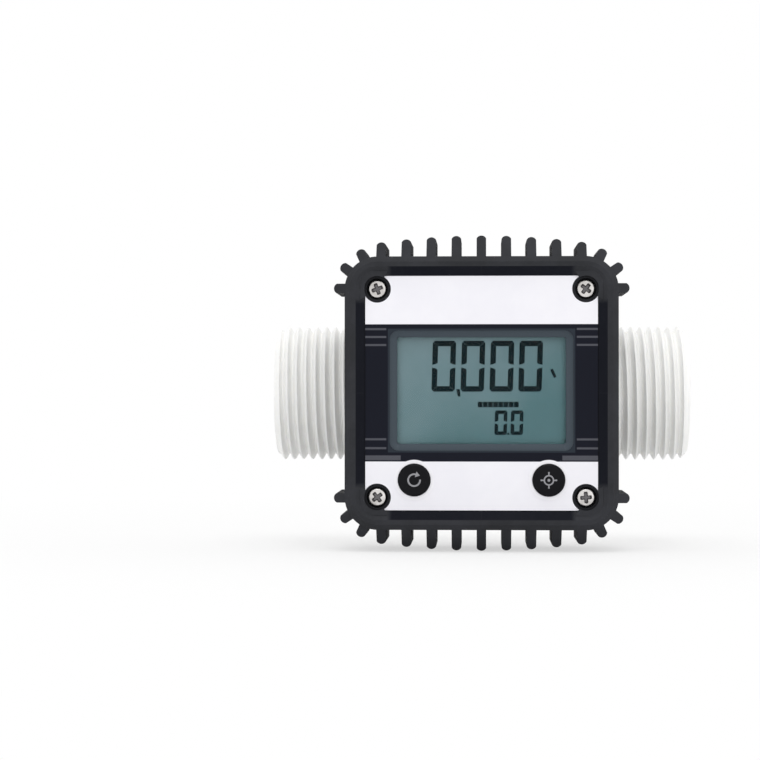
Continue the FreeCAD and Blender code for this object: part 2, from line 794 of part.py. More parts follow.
def battery_cradle():
    """Open tray for the two cells: floor, end walls for the contacts, and outer rails."""
    body = new_body("battery_cradle")
    end_height = f"{board_back} - cradle_end_gap - {floor_front}"
    side_in = "(cell_pitch / 2 + cell_diameter / 2 + cell_gap)"
    side_out = f"({side_in} + cradle_wall)"
    floor = face_sketch(body, "floor", floor_front)
    box(floor, "-1 * cradle_room", "cradle_room", f"-1 * {side_out}", side_out)
    pad(body, floor, "cradle_floor")
    for hand in (-1, 1):
        end = face_sketch(body, f"end{hand + 1}", floor_front)
        box(
            end, f"{hand} * {cradle_half}", f"{hand} * cradle_room",
            f"-1 * {side_out}", side_out,
        )
        pad(body, end, end_height)
        rail = face_sketch(body, f"rail{hand + 1}", floor_front)
        box(
            rail, "-1 * cradle_room", "cradle_room",
            f"{hand} * {side_in}", f"{hand} * {side_out}",
        )
        pad(body, rail, "cradle_rail")
    slot = face_sketch(body, "sensor_slot", f"{floor_front} + cradle_floor")
    centred_box(slot, "sensor_width + 2 * sensor_gap", "sensor_height + 2 * sensor_gap")
    pocket(body, slot, "cradle_floor")
    return body


def cell(label, side):
    """A round dry cell with its positive nub towards the outlet for 1, the inlet for -1."""
    body = new_body(label, f"{side} * spring_length / 2", cell_depth, f"{side} * cell_pitch / 2")
    can = new_sketch(body, "can", "XZ_Plane")
    shoulder = "(cell_length / 2 - cell_nub)"
    outline(can, [
        (signed(side, "-1 * cell_length / 2"), "0"),
        (signed(side, "-1 * cell_length / 2"), "cell_diameter / 2 - cell_edge"),
        (signed(side, "cell_edge - cell_length / 2"), "cell_diameter / 2"),
        (signed(side, f"{shoulder} - cell_edge"), "cell_diameter / 2"),
        (signed(side, shoulder), "cell_diameter / 2 - cell_edge"),
        (signed(side, shoulder), "cell_nub_diameter / 2"),
        (signed(side, "cell_length / 2"), "cell_nub_diameter / 2"),
        (signed(side, "cell_length / 2"), "0"),
    ])
    revolve(body, can)
    return body


def battery_springs():
    """Sprung steel leaves behind the flat ends of the cells, at opposite ends of the cradle."""
    body = new_body("battery_springs")
    for side in (-1, 1):
        leaf = face_sketch(body, f"leaf{side + 1}", cell_depth)
        foot = signed(-side, f"{cradle_half} - tab_thickness")
        crest = signed(-side, f"{cradle_half} - tab_thickness - spring_length")
        under = signed(-side, f"{cradle_half} - tab_thickness - spring_length + spring_thickness")
        corners = []
        for hand in (-1, 1):
            middle = f"{side} * cell_pitch / 2 + {hand} * "
            strip = [
                (foot, middle + "(spring_span / 2 - spring_thickness)"),
                (foot, middle + "spring_span / 2"),
                (crest, middle + "spring_crest / 2"),
            ]
            back = [(under, middle + "(spring_crest / 2 - spring_thickness / 2)")]
            corners.append(strip + back if hand < 0 else strip[::-1] + back)
        lower, upper = corners
        outline(leaf, lower[:3] + upper[:3] + upper[3:] + lower[3:])
        pad(body, leaf, "spring_width", symmetric=True)
    return body


def battery_tabs():
    """Four sheet contacts on the cradle's end walls, with tags up to the circuit board."""
    body = new_body("battery_tabs")
    foot = f"-1 * ({floor_front} + cradle_floor)"
    for hand in (-1, 1):
        start = f"{cradle_half} - tab_thickness" if hand > 0 else f"-1 * {cradle_half}"
        plates = new_sketch(body, f"plates{hand + 1}", "YZ_Plane", start)
        for row in (-1, 1):
            middle = f"{row} * cell_pitch / 2"
            box(
                plates, f"-1 * {board_back}", foot,
                f"{middle} - tab_width / 2", f"{middle} + tab_width / 2",
            )
        pad(body, plates, "tab_thickness")
    return body


def circuit_board():
    """Glass-fibre board, notched round the tray's corner blocks."""
    body = new_body("circuit_board")
    laminate = face_sketch(body, "laminate", board_back)
    cross(laminate, f"({room_half} - board_edge_gap)", f"({room_notch} - board_edge_gap)")
    two_circles(
        laminate, "board_screw_diameter / 2 + board_screw_gap", "post_pitch_across", "post_pitch_up",
    )
    pad(body, laminate, "board_thickness")
    return body


def board_screws():
    """Two small screws that hold the board on opposite posts; the other two only carry it."""
    body = new_body("board_screws")
    shanks = face_sketch(body, "shanks", f"{board_front} - board_screw_length")
    two_circles(shanks, "board_screw_diameter / 2", "post_pitch_across", "post_pitch_up")
    pad(body, shanks, "board_screw_length")
    heads = face_sketch(body, "heads", board_front)
    two_circles(heads, "board_screw_head / 2", "post_pitch_across", "post_pitch_up")
    pad(body, heads, "board_screw_head_height")
    return body


def microcontroller():
    """The meter's processor, on the board behind the display."""
    body = new_body("microcontroller")
    package = face_sketch(body, "package", board_front)
    centred_box(package, "chip_width", "chip_width", "display_rise")
    pad(body, package, "chip_thickness")
    return body


def board_components():
    """A row of chip capacitors along the board's top edge."""
    body = new_body("board_components")
    row = face_sketch(body, "row", board_front)
    for step in (-2, -1, 0, 1, 2):
        middle = f"{step} * small_chip_pitch"
        box(
            row, f"{middle} - small_chip_width / 2", f"{middle} + small_chip_width / 2",
            "small_chip_rise - small_chip_height / 2", "small_chip_rise + small_chip_height / 2",
        )
    pad(body, row, "small_chip_thickness")
    return body


def pickup_sensor():
    """Magnetic pickup on a stalk from the board into the blind pocket over the rotor."""
    body = new_body("pickup_sensor")
    stalk = face_sketch(body, "stalk", f"{sensor_floor} + sensor_gap")
    centred_box(stalk, "sensor_width", "sensor_height")
    pad(body, stalk, f"{board_back} - {sensor_floor} - sensor_gap")
    return body


def tact_switches():
    """Two switch housings on the board, each with a well for its plunger."""
    body = new_body("tact_switches")
    squares = face_sketch(body, "squares", board_front)
    wells = face_sketch(body, "wells", f"{board_front} + switch_height")
    for hand in (-1, 1):
        middle = f"{hand} * button_pitch / 2"
        box(
            squares, f"{middle} - switch_width / 2", f"{middle} + switch_width / 2",
            "-1 * button_drop - switch_width / 2", "switch_width / 2 - button_drop",
        )
        circle(wells, "plunger_diameter / 2 + plunger_gap", middle, "-1 * button_drop")
    pad(body, squares, "switch_height")
    pocket(body, wells, "plunger_length - button_press_room + plunger_room")
    return body


def push_button(label, side):
    """Round cap with an inner flange and a groove for its seal; its axis is the body's Y axis."""
    body = new_body(label, f"{side} * button_pitch / 2", "0", "-1 * button_drop")
    half = new_sketch(body, "half", "XY_Plane")
    cap = "button_diameter / 2"
    root = "(button_diameter / 2 + button_seal_gap - button_seal_section)"
    near = f"{seal_depth} - button_seal_section / 2 - button_seal_play"
    far = f"{seal_depth} + button_seal_section / 2 + button_seal_play"
    top = f"({overlay_front} + button_proud)"
    outline(half, [
        ("0", f"-1 * {button_back}"),
        ("button_flange / 2", f"-1 * {button_back}"),
        ("button_flange / 2", f"-1 * ({button_back} + button_flange_thickness)"),
        (cap, f"-1 * ({button_back} + button_flange_thickness)"),
        (cap, f"-1 * ({near})"),
        (root, f"-1 * ({near})"),
        (root, f"-1 * ({far})"),
        (cap, f"-1 * ({far})"),
        (cap, f"button_edge - {top}"),
        (f"{cap} - button_edge", f"-1 * {top}"),
        ("0", f"-1 * {top}"),
    ])
    revolve(body, half, "V_Axis")
    return body


def button_seal(label, side):
    """Rubber ring in the button's groove; it wipes the hole in the cover."""
    reach = "button_diameter / 2 + button_seal_gap - button_seal_section / 2"
    return seal_ring(
        label, reach, "button_seal_section", seal_depth,
        f"{side} * button_pitch / 2", "-1 * button_drop",
    )


def switch_plunger(label, side):
    """The switch's own moving pin, which rests against the button's back."""
    body = new_body(label, f"{side} * button_pitch / 2", "0", "-1 * button_drop")
    pin = face_sketch(body, "pin", f"{button_back} - plunger_length")
    circle(pin, "plunger_diameter / 2")
    pad(body, pin, "plunger_length")
    return body


def zebra_strips():
    """Two elastomer strips that join the board to the display's contacts."""
    body = new_body("zebra_strips")
    strips = face_sketch(body, "strips", board_front)
    for hand in (-1, 1):
        middle = f"display_rise + {hand} * (glass_height / 2 - zebra_width)"
        box(
            strips, "-1 * zebra_length / 2", "zebra_length / 2",
            f"{middle} - zebra_width / 2", f"{middle} + zebra_width / 2",
        )
    pad(body, strips, "zebra_height")
    return body


def lcd_carrier():
    """Frame that centres the display on the board."""
    body = new_body("lcd_carrier")
    frame = face_sketch(body, "frame", board_front)
    width = "glass_width + 2 * carrier_gap"
    height = "glass_height + 2 * carrier_gap"
    centred_box(frame, f"{width} + 2 * carrier_wall", f"{height} + 2 * carrier_wall", "display_rise")
    centred_box(frame, width, height, "display_rise")
    pad(body, frame, "zebra_height + 2 * glass_thickness")
    return body


def lcd_panel():
    """Two glass plates; the back one shows a contact ledge along both long edges."""
    body = new_body("lcd_panel")
    back = face_sketch(body, "back_glass", display_back)
    centred_box(back, "glass_width", "glass_height", "display_rise")
    pad(body, back, "glass_thickness")
    front = face_sketch(body, "front_glass", f"{display_back} + glass_thickness")
    centred_box(front, "glass_width", "glass_height - glass_ledge", "display_rise")
    pad(body, front, "glass_thickness")
    return body


def head_gasket():
    """Flat rubber gasket between tray and cover, with a hole for each screw."""
    body = new_body("head_gasket")
    rim = face_sketch(body, "rim", tray_front)
    rounded_box(rim, "head_width", "head_width", "head_corner")
    cross(rim, room_half, room_notch)
    four_circles(rim, "screw_diameter / 2 + screw_gap", "screw_pitch", "screw_pitch")
    pad(body, rim, "gasket_thickness")
    return body


def front_cover():
    """Black cover: hollow behind, with a bevelled window, button holes and sunk screw seats."""
    body = new_body("front_cover")
    block = face_sketch(body, "block", cover_back)
    rounded_box(block, "head_width", "head_width", "head_corner")
    pad(body, block, "cover_depth")
    room = face_sketch(body, "room", cover_back)
    cross(room, room_half, room_notch)
    pocket(body, room, "cover_depth - cover_wall", forward=True)
    holes = face_sketch(body, "screw_holes", cover_front)
    four_circles(holes, "screw_diameter / 2 + screw_gap", "screw_pitch", "screw_pitch")
    pocket(body, holes, "cover_depth")
    seats = face_sketch(body, "screw_seats", cover_front)
    four_circles(seats, "screw_head / 2 + screw_gap", "screw_pitch", "screw_pitch")
    pocket(body, seats, f"{cover_front} - {screw_seat}")
    window = face_sketch(body, "window", cover_front)
    rounded_box(window, "window_width", "window_height", "window_corner", "display_rise")
    pocket(body, window, "cover_wall")
    rebate = face_sketch(body, "lens_rebate", cover_inside)
    rounded_box(
        rebate, "lens_width + 2 * lens_gap", "lens_height + 2 * lens_gap",
        "window_corner + lens_gap", "display_rise",
    )
    pocket(body, rebate, "lens_thickness", forward=True)
    bezel = []
    for name, depth, size in (
        ("bezel_back", f"{cover_inside} + lens_thickness + window_lip", "window"),
        ("bezel_front", cover_front, "bezel"),
    ):
        section = face_sketch(body, name, depth)
        rounded_box(
            section, f"{size}_width", f"{size}_height", f"{size}_corner", "display_rise",
        )
        bezel.append(section)
    cut = add_feature(body, "SubtractiveLoft", bezel[0], "loft")
    cut.Sections = bezel[1:]
    button_holes = face_sketch(body, "button_holes", cover_front)
    for hand in (-1, 1):
        circle(
            button_holes, "button_diameter / 2 + button_gap",
            f"{hand} * button_pitch / 2", "-1 * button_drop",
        )
    pocket(body, button_holes, "cover_wall")
    return body


def window_lens():
    """Clear pane let into the cover's back, behind the bevelled window."""
    body = new_body("window_lens")
    pane = face_sketch(body, "pane", cover_inside)
    rounded_box(pane, "lens_width", "lens_height", "window_corner", "display_rise")
    pad(body, pane, "lens_thickness")
    return body


def face_overlay():
    """Printed film on the cover, cut away at the window, the buttons and the screws."""
    body = new_body("face_overlay")
    film = face_sketch(body, "film", cover_front)
    rounded_box(film, "overlay_width", "overlay_height", "overlay_corner")
    pad(body, film, "overlay_thickness")
    openings = face_sketch(body, "openings", overlay_front)
    rounded_box(openings, "bezel_width", "bezel_height", "bezel_corner", "display_rise")
    for hand in (-1, 1):
        circle(
            openings, "button_diameter / 2 + button_gap",
            f"{hand} * button_pitch / 2", "-1 * button_drop",
        )
    four_circles(openings, "overlay_screw_hole / 2", "screw_pitch", "screw_pitch")
    pocket(body, openings, "overlay_thickness")
    return body


def cover_screws():
    """Four long pan-head screws through cover, gasket and tray into the flange's inserts."""
    body = new_body("cover_screws")
    shanks = face_sketch(body, "shanks", screw_end)
    four_circles(shanks, "screw_diameter / 2", "screw_pitch", "screw_pitch")
    pad(body, shanks, f"{screw_seat} - {screw_end}")
    heads = face_sketch(body, "heads", screw_seat)
    four_circles(heads, "screw_head / 2", "screw_pitch", "screw_pitch")
    pad(body, heads, "screw_head_height")
    return body


# ---------------------------------------------------------------- rubber boot


def boot_shell():
    """The boot without its fins: a square sleeve with a bevelled front lip and a back lip.

    A web in each corner of the front opening closes in on the screw there.

    Its sides are notched from behind, so that it pulls on over the ports.
    """
    body = new_body("boot_shell")
    block = face_sketch(body, "block", boot_back)
    rounded_box(block, "boot_width", "boot_width", "boot_corner")
    pad(body, block, f"{boot_front} - boot_edge - {boot_back}")
    bevel = []
    for name, depth, inset in (
        ("bevel_back", f"{boot_front} - boot_edge", "0"),
        ("bevel_front", boot_front, "boot_edge"),
    ):
        section = face_sketch(body, name, depth)
        width = f"boot_width - 2 * {inset}"
        rounded_box(section, width, width, f"boot_corner - {inset}")
        bevel.append(section)
    loft = add_feature(body, "AdditiveLoft", bevel[0], "loft")
    loft.Sections = bevel[1:]
    cavity = face_sketch(body, "cavity", f"{cover_front} + boot_lip_gap")
    rounded_box(cavity, "boot_cavity", "boot_cavity", "head_corner + boot_gap")
    pocket(body, cavity, f"{cover_front} + boot_lip_gap - {flange_back} + boot_gap")
    back = face_sketch(body, "back_opening", flange_back)
    opening = "head_width - 2 * boot_back_reach"
    rounded_box(back, opening, opening, "head_corner - boot_back_reach")
    pocket(body, back, f"{flange_back} - {boot_back}")
    front = face_sketch(body, "front_opening", overlay_front)
    width = "(overlay_width + 2 * boot_lip_gap)"
    height = "(overlay_height + 2 * boot_lip_gap)"
    corner = "(overlay_corner + boot_lip_gap)"
    rounded_box(front, width, height, corner)
    pocket(body, front, "overlay_thickness")
    slope = []
    for name, depth, outset in (
        ("slope_back", overlay_front, "0"),
        ("slope_front", boot_front, "boot_slope"),
    ):
        section = face_sketch(body, name, depth)
        rounded_box(
            section, f"{width} + 2 * {outset}", f"{height} + 2 * {outset}", f"{corner} + {outset}",
        )
        slope.append(section)
    cut = add_feature(body, "SubtractiveLoft", slope[0], "loft")
    cut.Sections = slope[1:]
    web_back = f"({overlay_front} + boot_lip_gap)"
    web_front = f"({boot_front} - boot_web_drop)"
    webs = face_sketch(body, "webs", web_back)
    near = "(screw_pitch / 2)"
    far_across = f"({width} / 2 + boot_slope / 2)"
    far_up = f"({height} / 2 + boot_slope / 2)"
    for across in (-1, 1):
        for up in (-1, 1):
            outline(webs, [
                (signed(across, near), signed(up, near)),
                (signed(across, far_across), signed(up, f"{near} - boot_web_spread")),
                (signed(across, far_across), signed(up, far_up)),
                (signed(across, f"{near} - boot_web_spread"), signed(up, far_up)),
            ])
    pad(body, webs, f"{web_front} - {web_back}")
    access = face_sketch(body, "screw_access", web_front)
    four_circles(access, "screw_head / 2 + boot_web_gap", "screw_pitch", "screw_pitch")
    pocket(body, access, f"{web_front} - {web_back}")
    notch = new_sketch(body, "port_notch", "YZ_Plane", "boot_width / 2")
    circle(notch, "barrel_diameter / 2 + boot_gap")
    pocket(body, notch, "boot_width")
    nubs = face_sketch(body, "side_nubs", f"({boot_front} + {boot_back}) / 2 - boot_nub_length / 2")
    for hand in (-1, 1):
        edge = f"{hand} * (boot_width) / 2"
        box(
            nubs, f"{edge} - {hand} * boot_nub_width", f"{edge} + {hand} * boot_nub_proud",
            "display_rise - boot_nub_width", "display_rise + boot_nub_width",
        )
    pad(body, nubs, "boot_nub_length")
    return body


def fin(sketch, foot, direction, length):
    """Draw a round-ended fin: foot is a pair of expressions, direction a turn from upright."""
    tip_x, tip_z, across_x, across_z = direction
    run = f"({length} - fin_tip_radius + sqrt(fin_tip_radius ^ 2 - (fin_width / 2) ^ 2))"
    corners = []
    for hand, far in ((1, 0), (1, 1), (-1, 1), (-1, 0)):
        corners.append((
            f"{foot[0]} + {hand} * ({across_x}) * fin_width / 2 + {far} * ({tip_x}) * {run}",
            f"{foot[1]} + {hand} * ({across_z}) * fin_width / 2 + {far} * ({tip_z}) * {run}",
        ))
    hand = 1 if measure(f"({across_x}) * ({tip_z}) - ({across_z}) * ({tip_x})") > 0 else -1
    outline(sketch, corners, {1: ("fin_tip_radius", hand)})


def boot_fins():
    """Bumper fins: a row above, a row below, and three fanned round each corner."""
    body = new_body("boot_fins")
    start = f"({boot_back} + fin_setback)"
    foot = "(boot_width / 2 - fin_sink)"
    corner_centre = "(boot_width / 2 - boot_corner)"
    for up in (-1, 1):
        middle = face_sketch(body, f"middle{up + 1}", start)
        fin(middle, ("0", f"{up} * {foot}"), ("0", f"{up}", "1", "0"), f"(fin_reach - {foot})")
        pad(body, middle, "fin_depth")
        for across in (-1, 1):
            fan = face_sketch(body, f"quarter{across + 1}{up + 1}", start)
            for step in range(1, int(measure("fin_rows")) + 1):
                place = f"{step} * fin_pitch"
                reach = f"(fin_reach - fin_crown + sqrt(fin_crown ^ 2 - ({place}) ^ 2))"
                fin(
                    fan, (f"{across} * {place}", f"{up} * {foot}"),
                    ("0", f"{up}", "1", "0"), f"({reach} - {foot})",
                )
            for step in range(3):
                angle = f"(corner_fin_first + {step} * corner_fin_step)"
                near = "(boot_corner - fin_sink)"
                fin(
                    fan,
                    (
                        f"{across} * ({corner_centre} + {near} * sin({angle}))",
                        f"{up} * ({corner_centre} + {near} * cos({angle}))",
                    ),
                    (
                        f"{across} * sin({angle})", f"{up} * cos({angle})",
                        f"{across} * cos({angle})", f"-1 * {up} * sin({angle})",
                    ),
                    f"(corner_fin_reach - {near})",
                )
            pad(body, fan, "fin_depth")
    return body


def fin_envelope():
    """The rounded block that the fins are cut to, so that their ends slope down to the sleeve."""
    body = new_body("fin_envelope")
    start = f"({boot_back} + fin_setback)"
    end = f"({start} + fin_depth)"
    full = "2 * (fin_reach + fin_width)"
    sections = []
    for name, depth, width, corner in (
        ("tail", start, f"{full} - 2 * fin_tail", "boot_corner"),
        ("tail_crest", f"{start} + fin_tail", full, "boot_corner + fin_tail"),
        ("nose_crest", f"{end} - fin_nose", full, "boot_corner + fin_tail"),
        ("nose", end, "boot_width", "boot_corner"),
    ):
        section = face_sketch(body, name, depth)
        rounded_box(section, width, width, corner)
        sections.append(section)
    loft = add_feature(body, "AdditiveLoft", sections[0], "loft")
    loft.Sections = sections[1:]
    loft.Ruled = True
    return body


def rubber_boot():
    """Sleeve and trimmed fins, moulded in one."""
    trimmed = document.addObject("Part::Common", "trimmed_fins")
    trimmed.Base = boot_fins()
    trimmed.Tool = fin_envelope()
    boot = document.addObject("Part::Fuse", "rubber_boot")
    boot.Label = "rubber_boot"
    boot.Base = boot_shell()
    boot.Tool = trimmed
    return boot


# ---------------------------------------------------------------- the meter, put together

sub_parts = [
    meter_body(),
    screw_inserts(),
    straightener("inlet_straightener", -1),
    straightener("outlet_straightener", 1),
    retaining_ring("inlet_retaining_ring", -1),
    retaining_ring("outlet_retaining_ring", 1),
    bearing("inlet_bearing", -1),
    bearing("outlet_bearing", 1),
    turbine_rotor(),
    rotor_shaft(),
    rotor_magnets(),
    seal_ring(
        "base_o_ring", "seal_ring_diameter / 2", "seal_ring_section",
        f"{head_seat} - seal_ring_section / 2",
    ),
    head_base(),
    battery_cradle(),
    cell("battery_upper", 1),
    cell("battery_lower", -1),
    battery_springs(),
    battery_tabs(),
    circuit_board(),
    board_screws(),
    microcontroller(),
    board_components(),
    pickup_sensor(),
    tact_switches(),
    switch_plunger("reset_plunger", -1),
    switch_plunger("calibrate_plunger", 1),
    zebra_strips(),
    lcd_carrier(),
    lcd_panel(),
    head_gasket(),
    front_cover(),
    window_lens(),
    face_overlay(),
    push_button("reset_button", -1),
    push_button("calibrate_button", 1),
    button_seal("reset_button_seal", -1),
    button_seal("calibrate_button_seal", 1),
    cover_screws(),
    rubber_boot(),
]
document.recompute()

# ---------------------------------------------------------------- checks and files

cutting_features = ("PartDesign::Pocket", "PartDesign::Groove", "PartDesign::SubtractiveLoft")
failed = [item.Label for item in document.Objects if {"Invalid", "Error"} & set(item.State)]
if failed:
    raise RuntimeError(f"these failed: {failed}")
for item in document.Objects:
    if item.TypeId in cutting_features and item.Shape.Volume >= item.BaseFeature.Shape.Volume:
        raise RuntimeError(f"{item.Label} cuts nothing")
for part in sub_parts:
    if part.Shape.isNull() or not part.Shape.isValid():
        raise RuntimeError(f"{part.Label} has no valid shape")
for part in sub_parts:
    part.Shape.exportStep(os.path.join("parts", f"{part.Label}.step"))
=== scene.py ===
import math

import bmesh
import bpy
import numpy as np
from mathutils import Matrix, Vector


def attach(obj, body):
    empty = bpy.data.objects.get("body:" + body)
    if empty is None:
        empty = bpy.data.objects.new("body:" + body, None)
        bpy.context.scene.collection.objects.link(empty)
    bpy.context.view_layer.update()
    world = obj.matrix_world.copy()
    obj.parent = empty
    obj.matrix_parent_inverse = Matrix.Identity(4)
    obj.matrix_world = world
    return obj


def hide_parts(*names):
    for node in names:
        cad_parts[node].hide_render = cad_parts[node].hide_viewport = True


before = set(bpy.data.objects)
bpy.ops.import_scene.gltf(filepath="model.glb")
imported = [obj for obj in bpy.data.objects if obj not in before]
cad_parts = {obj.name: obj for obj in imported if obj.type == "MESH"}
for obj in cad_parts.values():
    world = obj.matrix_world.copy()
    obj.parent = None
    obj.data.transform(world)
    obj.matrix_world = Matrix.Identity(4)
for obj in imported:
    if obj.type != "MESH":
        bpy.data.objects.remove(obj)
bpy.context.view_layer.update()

scene = bpy.context.scene
scene.view_settings.view_transform = "Standard"

# ---------------------------------------------------------------- flow tube
# One injection moulding in natural white nylon: a barrel with a male pipe thread at each end, a
# saddle and a square flange that the head screws to, and gusset ribs behind the flange. The
# threads are moulded in a split tool, and the nylon lets a little light in.

mm = 0.001
flow_centre = 51.0
port_face_to_face = 102.0
thread_pitch = 2.309
thread_crest = 16.6245
thread_depth = 1.479
thread_run = 18.0
thread_chamfer = 1.7
thread_rows, thread_columns = 157, 144
neck_radius = 14.8
mouth_radius = 12.9
weld_distance = 0.002


def paint(red, green, blue):
    """The linear colour of a paint given as three numbers from 0 to 255, by the screen's curve."""
    share = np.array([red, green, blue]) / 255
    linear = np.where(share > 0.04045, ((share + 0.055) / 1.055) ** 2.4, share / 12.92)
    return (*linear.tolist(), 1.0)


def wire(tree, socket, value):
    """Link a socket to another one, or set it to a number or a colour."""
    if isinstance(value, bpy.types.NodeSocket):
        tree.links.new(value, socket)
    else:
        socket.default_value = value


def shader_node(tree, kind, settings=None, **inputs):
    """Add a node; its inputs are named with _ for a space."""
    made = tree.nodes.new(kind)
    for name, value in (settings or {}).items():
        setattr(made, name, value)
    for name, value in inputs.items():
        wire(tree, made.inputs[name.replace("_", " ")], value)
    return made


def calc(tree, operation, *terms, clamp=False):
    """Add a Math node over sockets or numbers and give its result."""
    made = tree.nodes.new("ShaderNodeMath")
    made.operation = operation
    made.use_clamp = clamp
    for socket, term in zip(made.inputs, terms):
        wire(tree, socket, term)
    return made.outputs[0]


def blend_colours(tree, share, first, second):
    """Mix two colours by a share from 0 to 1."""
    made = tree.nodes.new("ShaderNodeMix")
    made.data_type = "RGBA"
    wire(tree, made.inputs[0], share)
    wire(tree, made.inputs[6], first)
    wire(tree, made.inputs[7], second)
    return made.outputs[2]


def moulded_skin_group():
    """The skin of a moulding: Height is a fine grain with a slow waviness, and Mottle is a cloudy
    mask, both from noise over the object's own coordinates."""
    group = bpy.data.node_groups.new("moulded_skin", "ShaderNodeTree")
    for name in ("Grain Scale", "Cloud Scale"):
        group.interface.new_socket(name, in_out="INPUT", socket_type="NodeSocketFloat")
    for name in ("Height", "Mottle"):
        group.interface.new_socket(name, in_out="OUTPUT", socket_type="NodeSocketFloat")
    given = group.nodes.new("NodeGroupInput")
    result = group.nodes.new("NodeGroupOutput")
    place = group.nodes.new("ShaderNodeTexCoord").outputs["Object"]
    grain = shader_node(
        group, "ShaderNodeTexNoise", Vector=place, Scale=given.outputs["Grain Scale"],
        Detail=3.0, Roughness=0.6,
    )
    wave = shader_node(
        group, "ShaderNodeTexNoise", Vector=place, Scale=given.outputs["Cloud Scale"],
        Detail=1.0, Roughness=0.4,
    )
    cloud = shader_node(
        group, "ShaderNodeTexNoise", Vector=place, Scale=given.outputs["Cloud Scale"],
        Detail=4.0, Roughness=0.65,
    )
    spread = shader_node(
        group, "ShaderNodeMapRange", {"interpolation_type": "SMOOTHSTEP"},
        Value=cloud.outputs[0], From_Min=0.35, From_Max=0.68,
    )
    height = calc(group, "MULTIPLY_ADD", wave.outputs[0], 0.6, grain.outputs[0])
    wire(group, result.inputs["Height"], height)
    wire(group, result.inputs["Mottle"], spread.outputs[0])
    return group


moulded_skin = moulded_skin_group()


def moulded_finish(name, colour, shade, roughness, grain=2500.0, cloud=60.0, depth=0.05, **sockets):
    """A moulded or coated material: two close tones in clouds, a fine grain and uneven gloss."""
    material = bpy.data.materials.new(name)
    material.use_nodes = True
    tree = material.node_tree
    shader = tree.nodes["Principled BSDF"]
    skin = shader_node(tree, "ShaderNodeGroup", {"node_tree": moulded_skin})
    skin.inputs["Grain Scale"].default_value = grain
    skin.inputs["Cloud Scale"].default_value = cloud
    tone = blend_colours(tree, skin.outputs["Mottle"], colour, shade)
    wire(tree, shader.inputs["Base Color"], tone)
    low, high = roughness
    gloss = shader_node(
        tree, "ShaderNodeMapRange", Value=skin.outputs["Mottle"], To_Min=low, To_Max=high,
    )
    wire(tree, shader.inputs["Roughness"], gloss.outputs[0])
    bump = shader_node(
        tree, "ShaderNodeBump", Strength=depth, Distance=0.0002, Height=skin.outputs["Height"],
    )
    wire(tree, shader.inputs["Normal"], bump.outputs[0])
    for socket, value in sockets.items():
        shader.inputs[socket.replace("_", " ")].default_value = value
    return material


def grid_faces(rows, columns, flip=False):
    """Quads of a grid of rows by columns round an axis, the last column joined to the first."""
    row, column = np.meshgrid(np.arange(rows - 1), np.arange(columns), indexing="ij")
    after = (column + 1) % columns
    quads = np.stack([
        row * columns + column, (row + 1) * columns + column,
        (row + 1) * columns + after, row * columns + after,
    ], axis=-1).reshape(-1, 4)
    return (quads[:, ::-1] if flip else quads).tolist()


def join_parts(*parts):
    """Points and faces of several parts as one."""
    points, faces = [], []
    for part_points, part_faces in parts:
        offset = sum(len(some) for some in points)
        points.append(part_points)
        faces += [[index + offset for index in face] for face in part_faces]
    return np.vstack(points), faces


def fill_mesh(mesh, points, faces, sharp=35):
    """Put points in millimetres and a list of faces into a mesh, smooth except at sharp angles."""
    mesh.clear_geometry()
    mesh.from_pydata((np.asarray(points) * mm).tolist(), [], faces)
    mesh.polygons.foreach_set("use_smooth", np.ones(len(mesh.polygons), bool))
    mesh.set_sharp_from_angle(angle=math.radians(sharp))
    mesh.update()


def new_piece(name, points, faces, material, body, sharp=35):
    """A new object of the visual model, with its mesh in place and its origin at the frame's."""
    piece = bpy.data.objects.new(name, bpy.data.meshes.new(name))
    fill_mesh(piece.data, points, faces, sharp)
    piece.data.materials.append(material)
    scene.collection.objects.link(piece)
    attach(piece, body)
    return piece


def merged_solid(node):
    """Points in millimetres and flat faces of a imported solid, its triangles merged."""
    sculpt = bmesh.new()
    sculpt.from_mesh(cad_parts[node].data)
    bmesh.ops.remove_doubles(sculpt, verts=sculpt.verts, dist=weld_distance * mm)
    bmesh.ops.dissolve_limit(
        sculpt, angle_limit=math.radians(0.4), verts=sculpt.verts, edges=sculpt.edges,
    )
    points = np.array([vertex.co for vertex in sculpt.verts]) / mm
    faces = [[vertex.index for vertex in face.verts] for face in sculpt.faces]
    sculpt.free()
    return points, faces


def thread_skin(end):
    """A port's outside as rows of points round the flow axis.

    The radius rises and falls as a cosine of the turn and the distance along a right-hand helix,
    and is capped by the end's chamfer; the first row is the mouth and the last one the neck.
    """
    along = np.linspace(0, thread_run, thread_rows)[:, None]
    turn = np.linspace(0, 2 * np.pi, thread_columns, endpoint=False)[None, :]
    place = along if end == "inlet" else port_face_to_face - along
    phase = place / thread_pitch - turn / (2 * np.pi)
    radius = thread_crest - thread_depth * (0.5 - 0.5 * np.cos(2 * np.pi * phase))
    radius = np.minimum(radius, thread_crest - thread_chamfer + along)
    place = np.broadcast_to(place, radius.shape)
    mouth = np.full((1, radius.shape[1]), mouth_radius)
    neck = np.full((1, radius.shape[1]), neck_radius)
    radius = np.vstack([mouth, radius, neck])
    place = np.vstack([place[:1], place, place[-1:]])
    points = np.stack([place, radius * np.cos(turn), radius * np.sin(turn)], axis=-1)
    return points.reshape(-1, 3), radius.shape


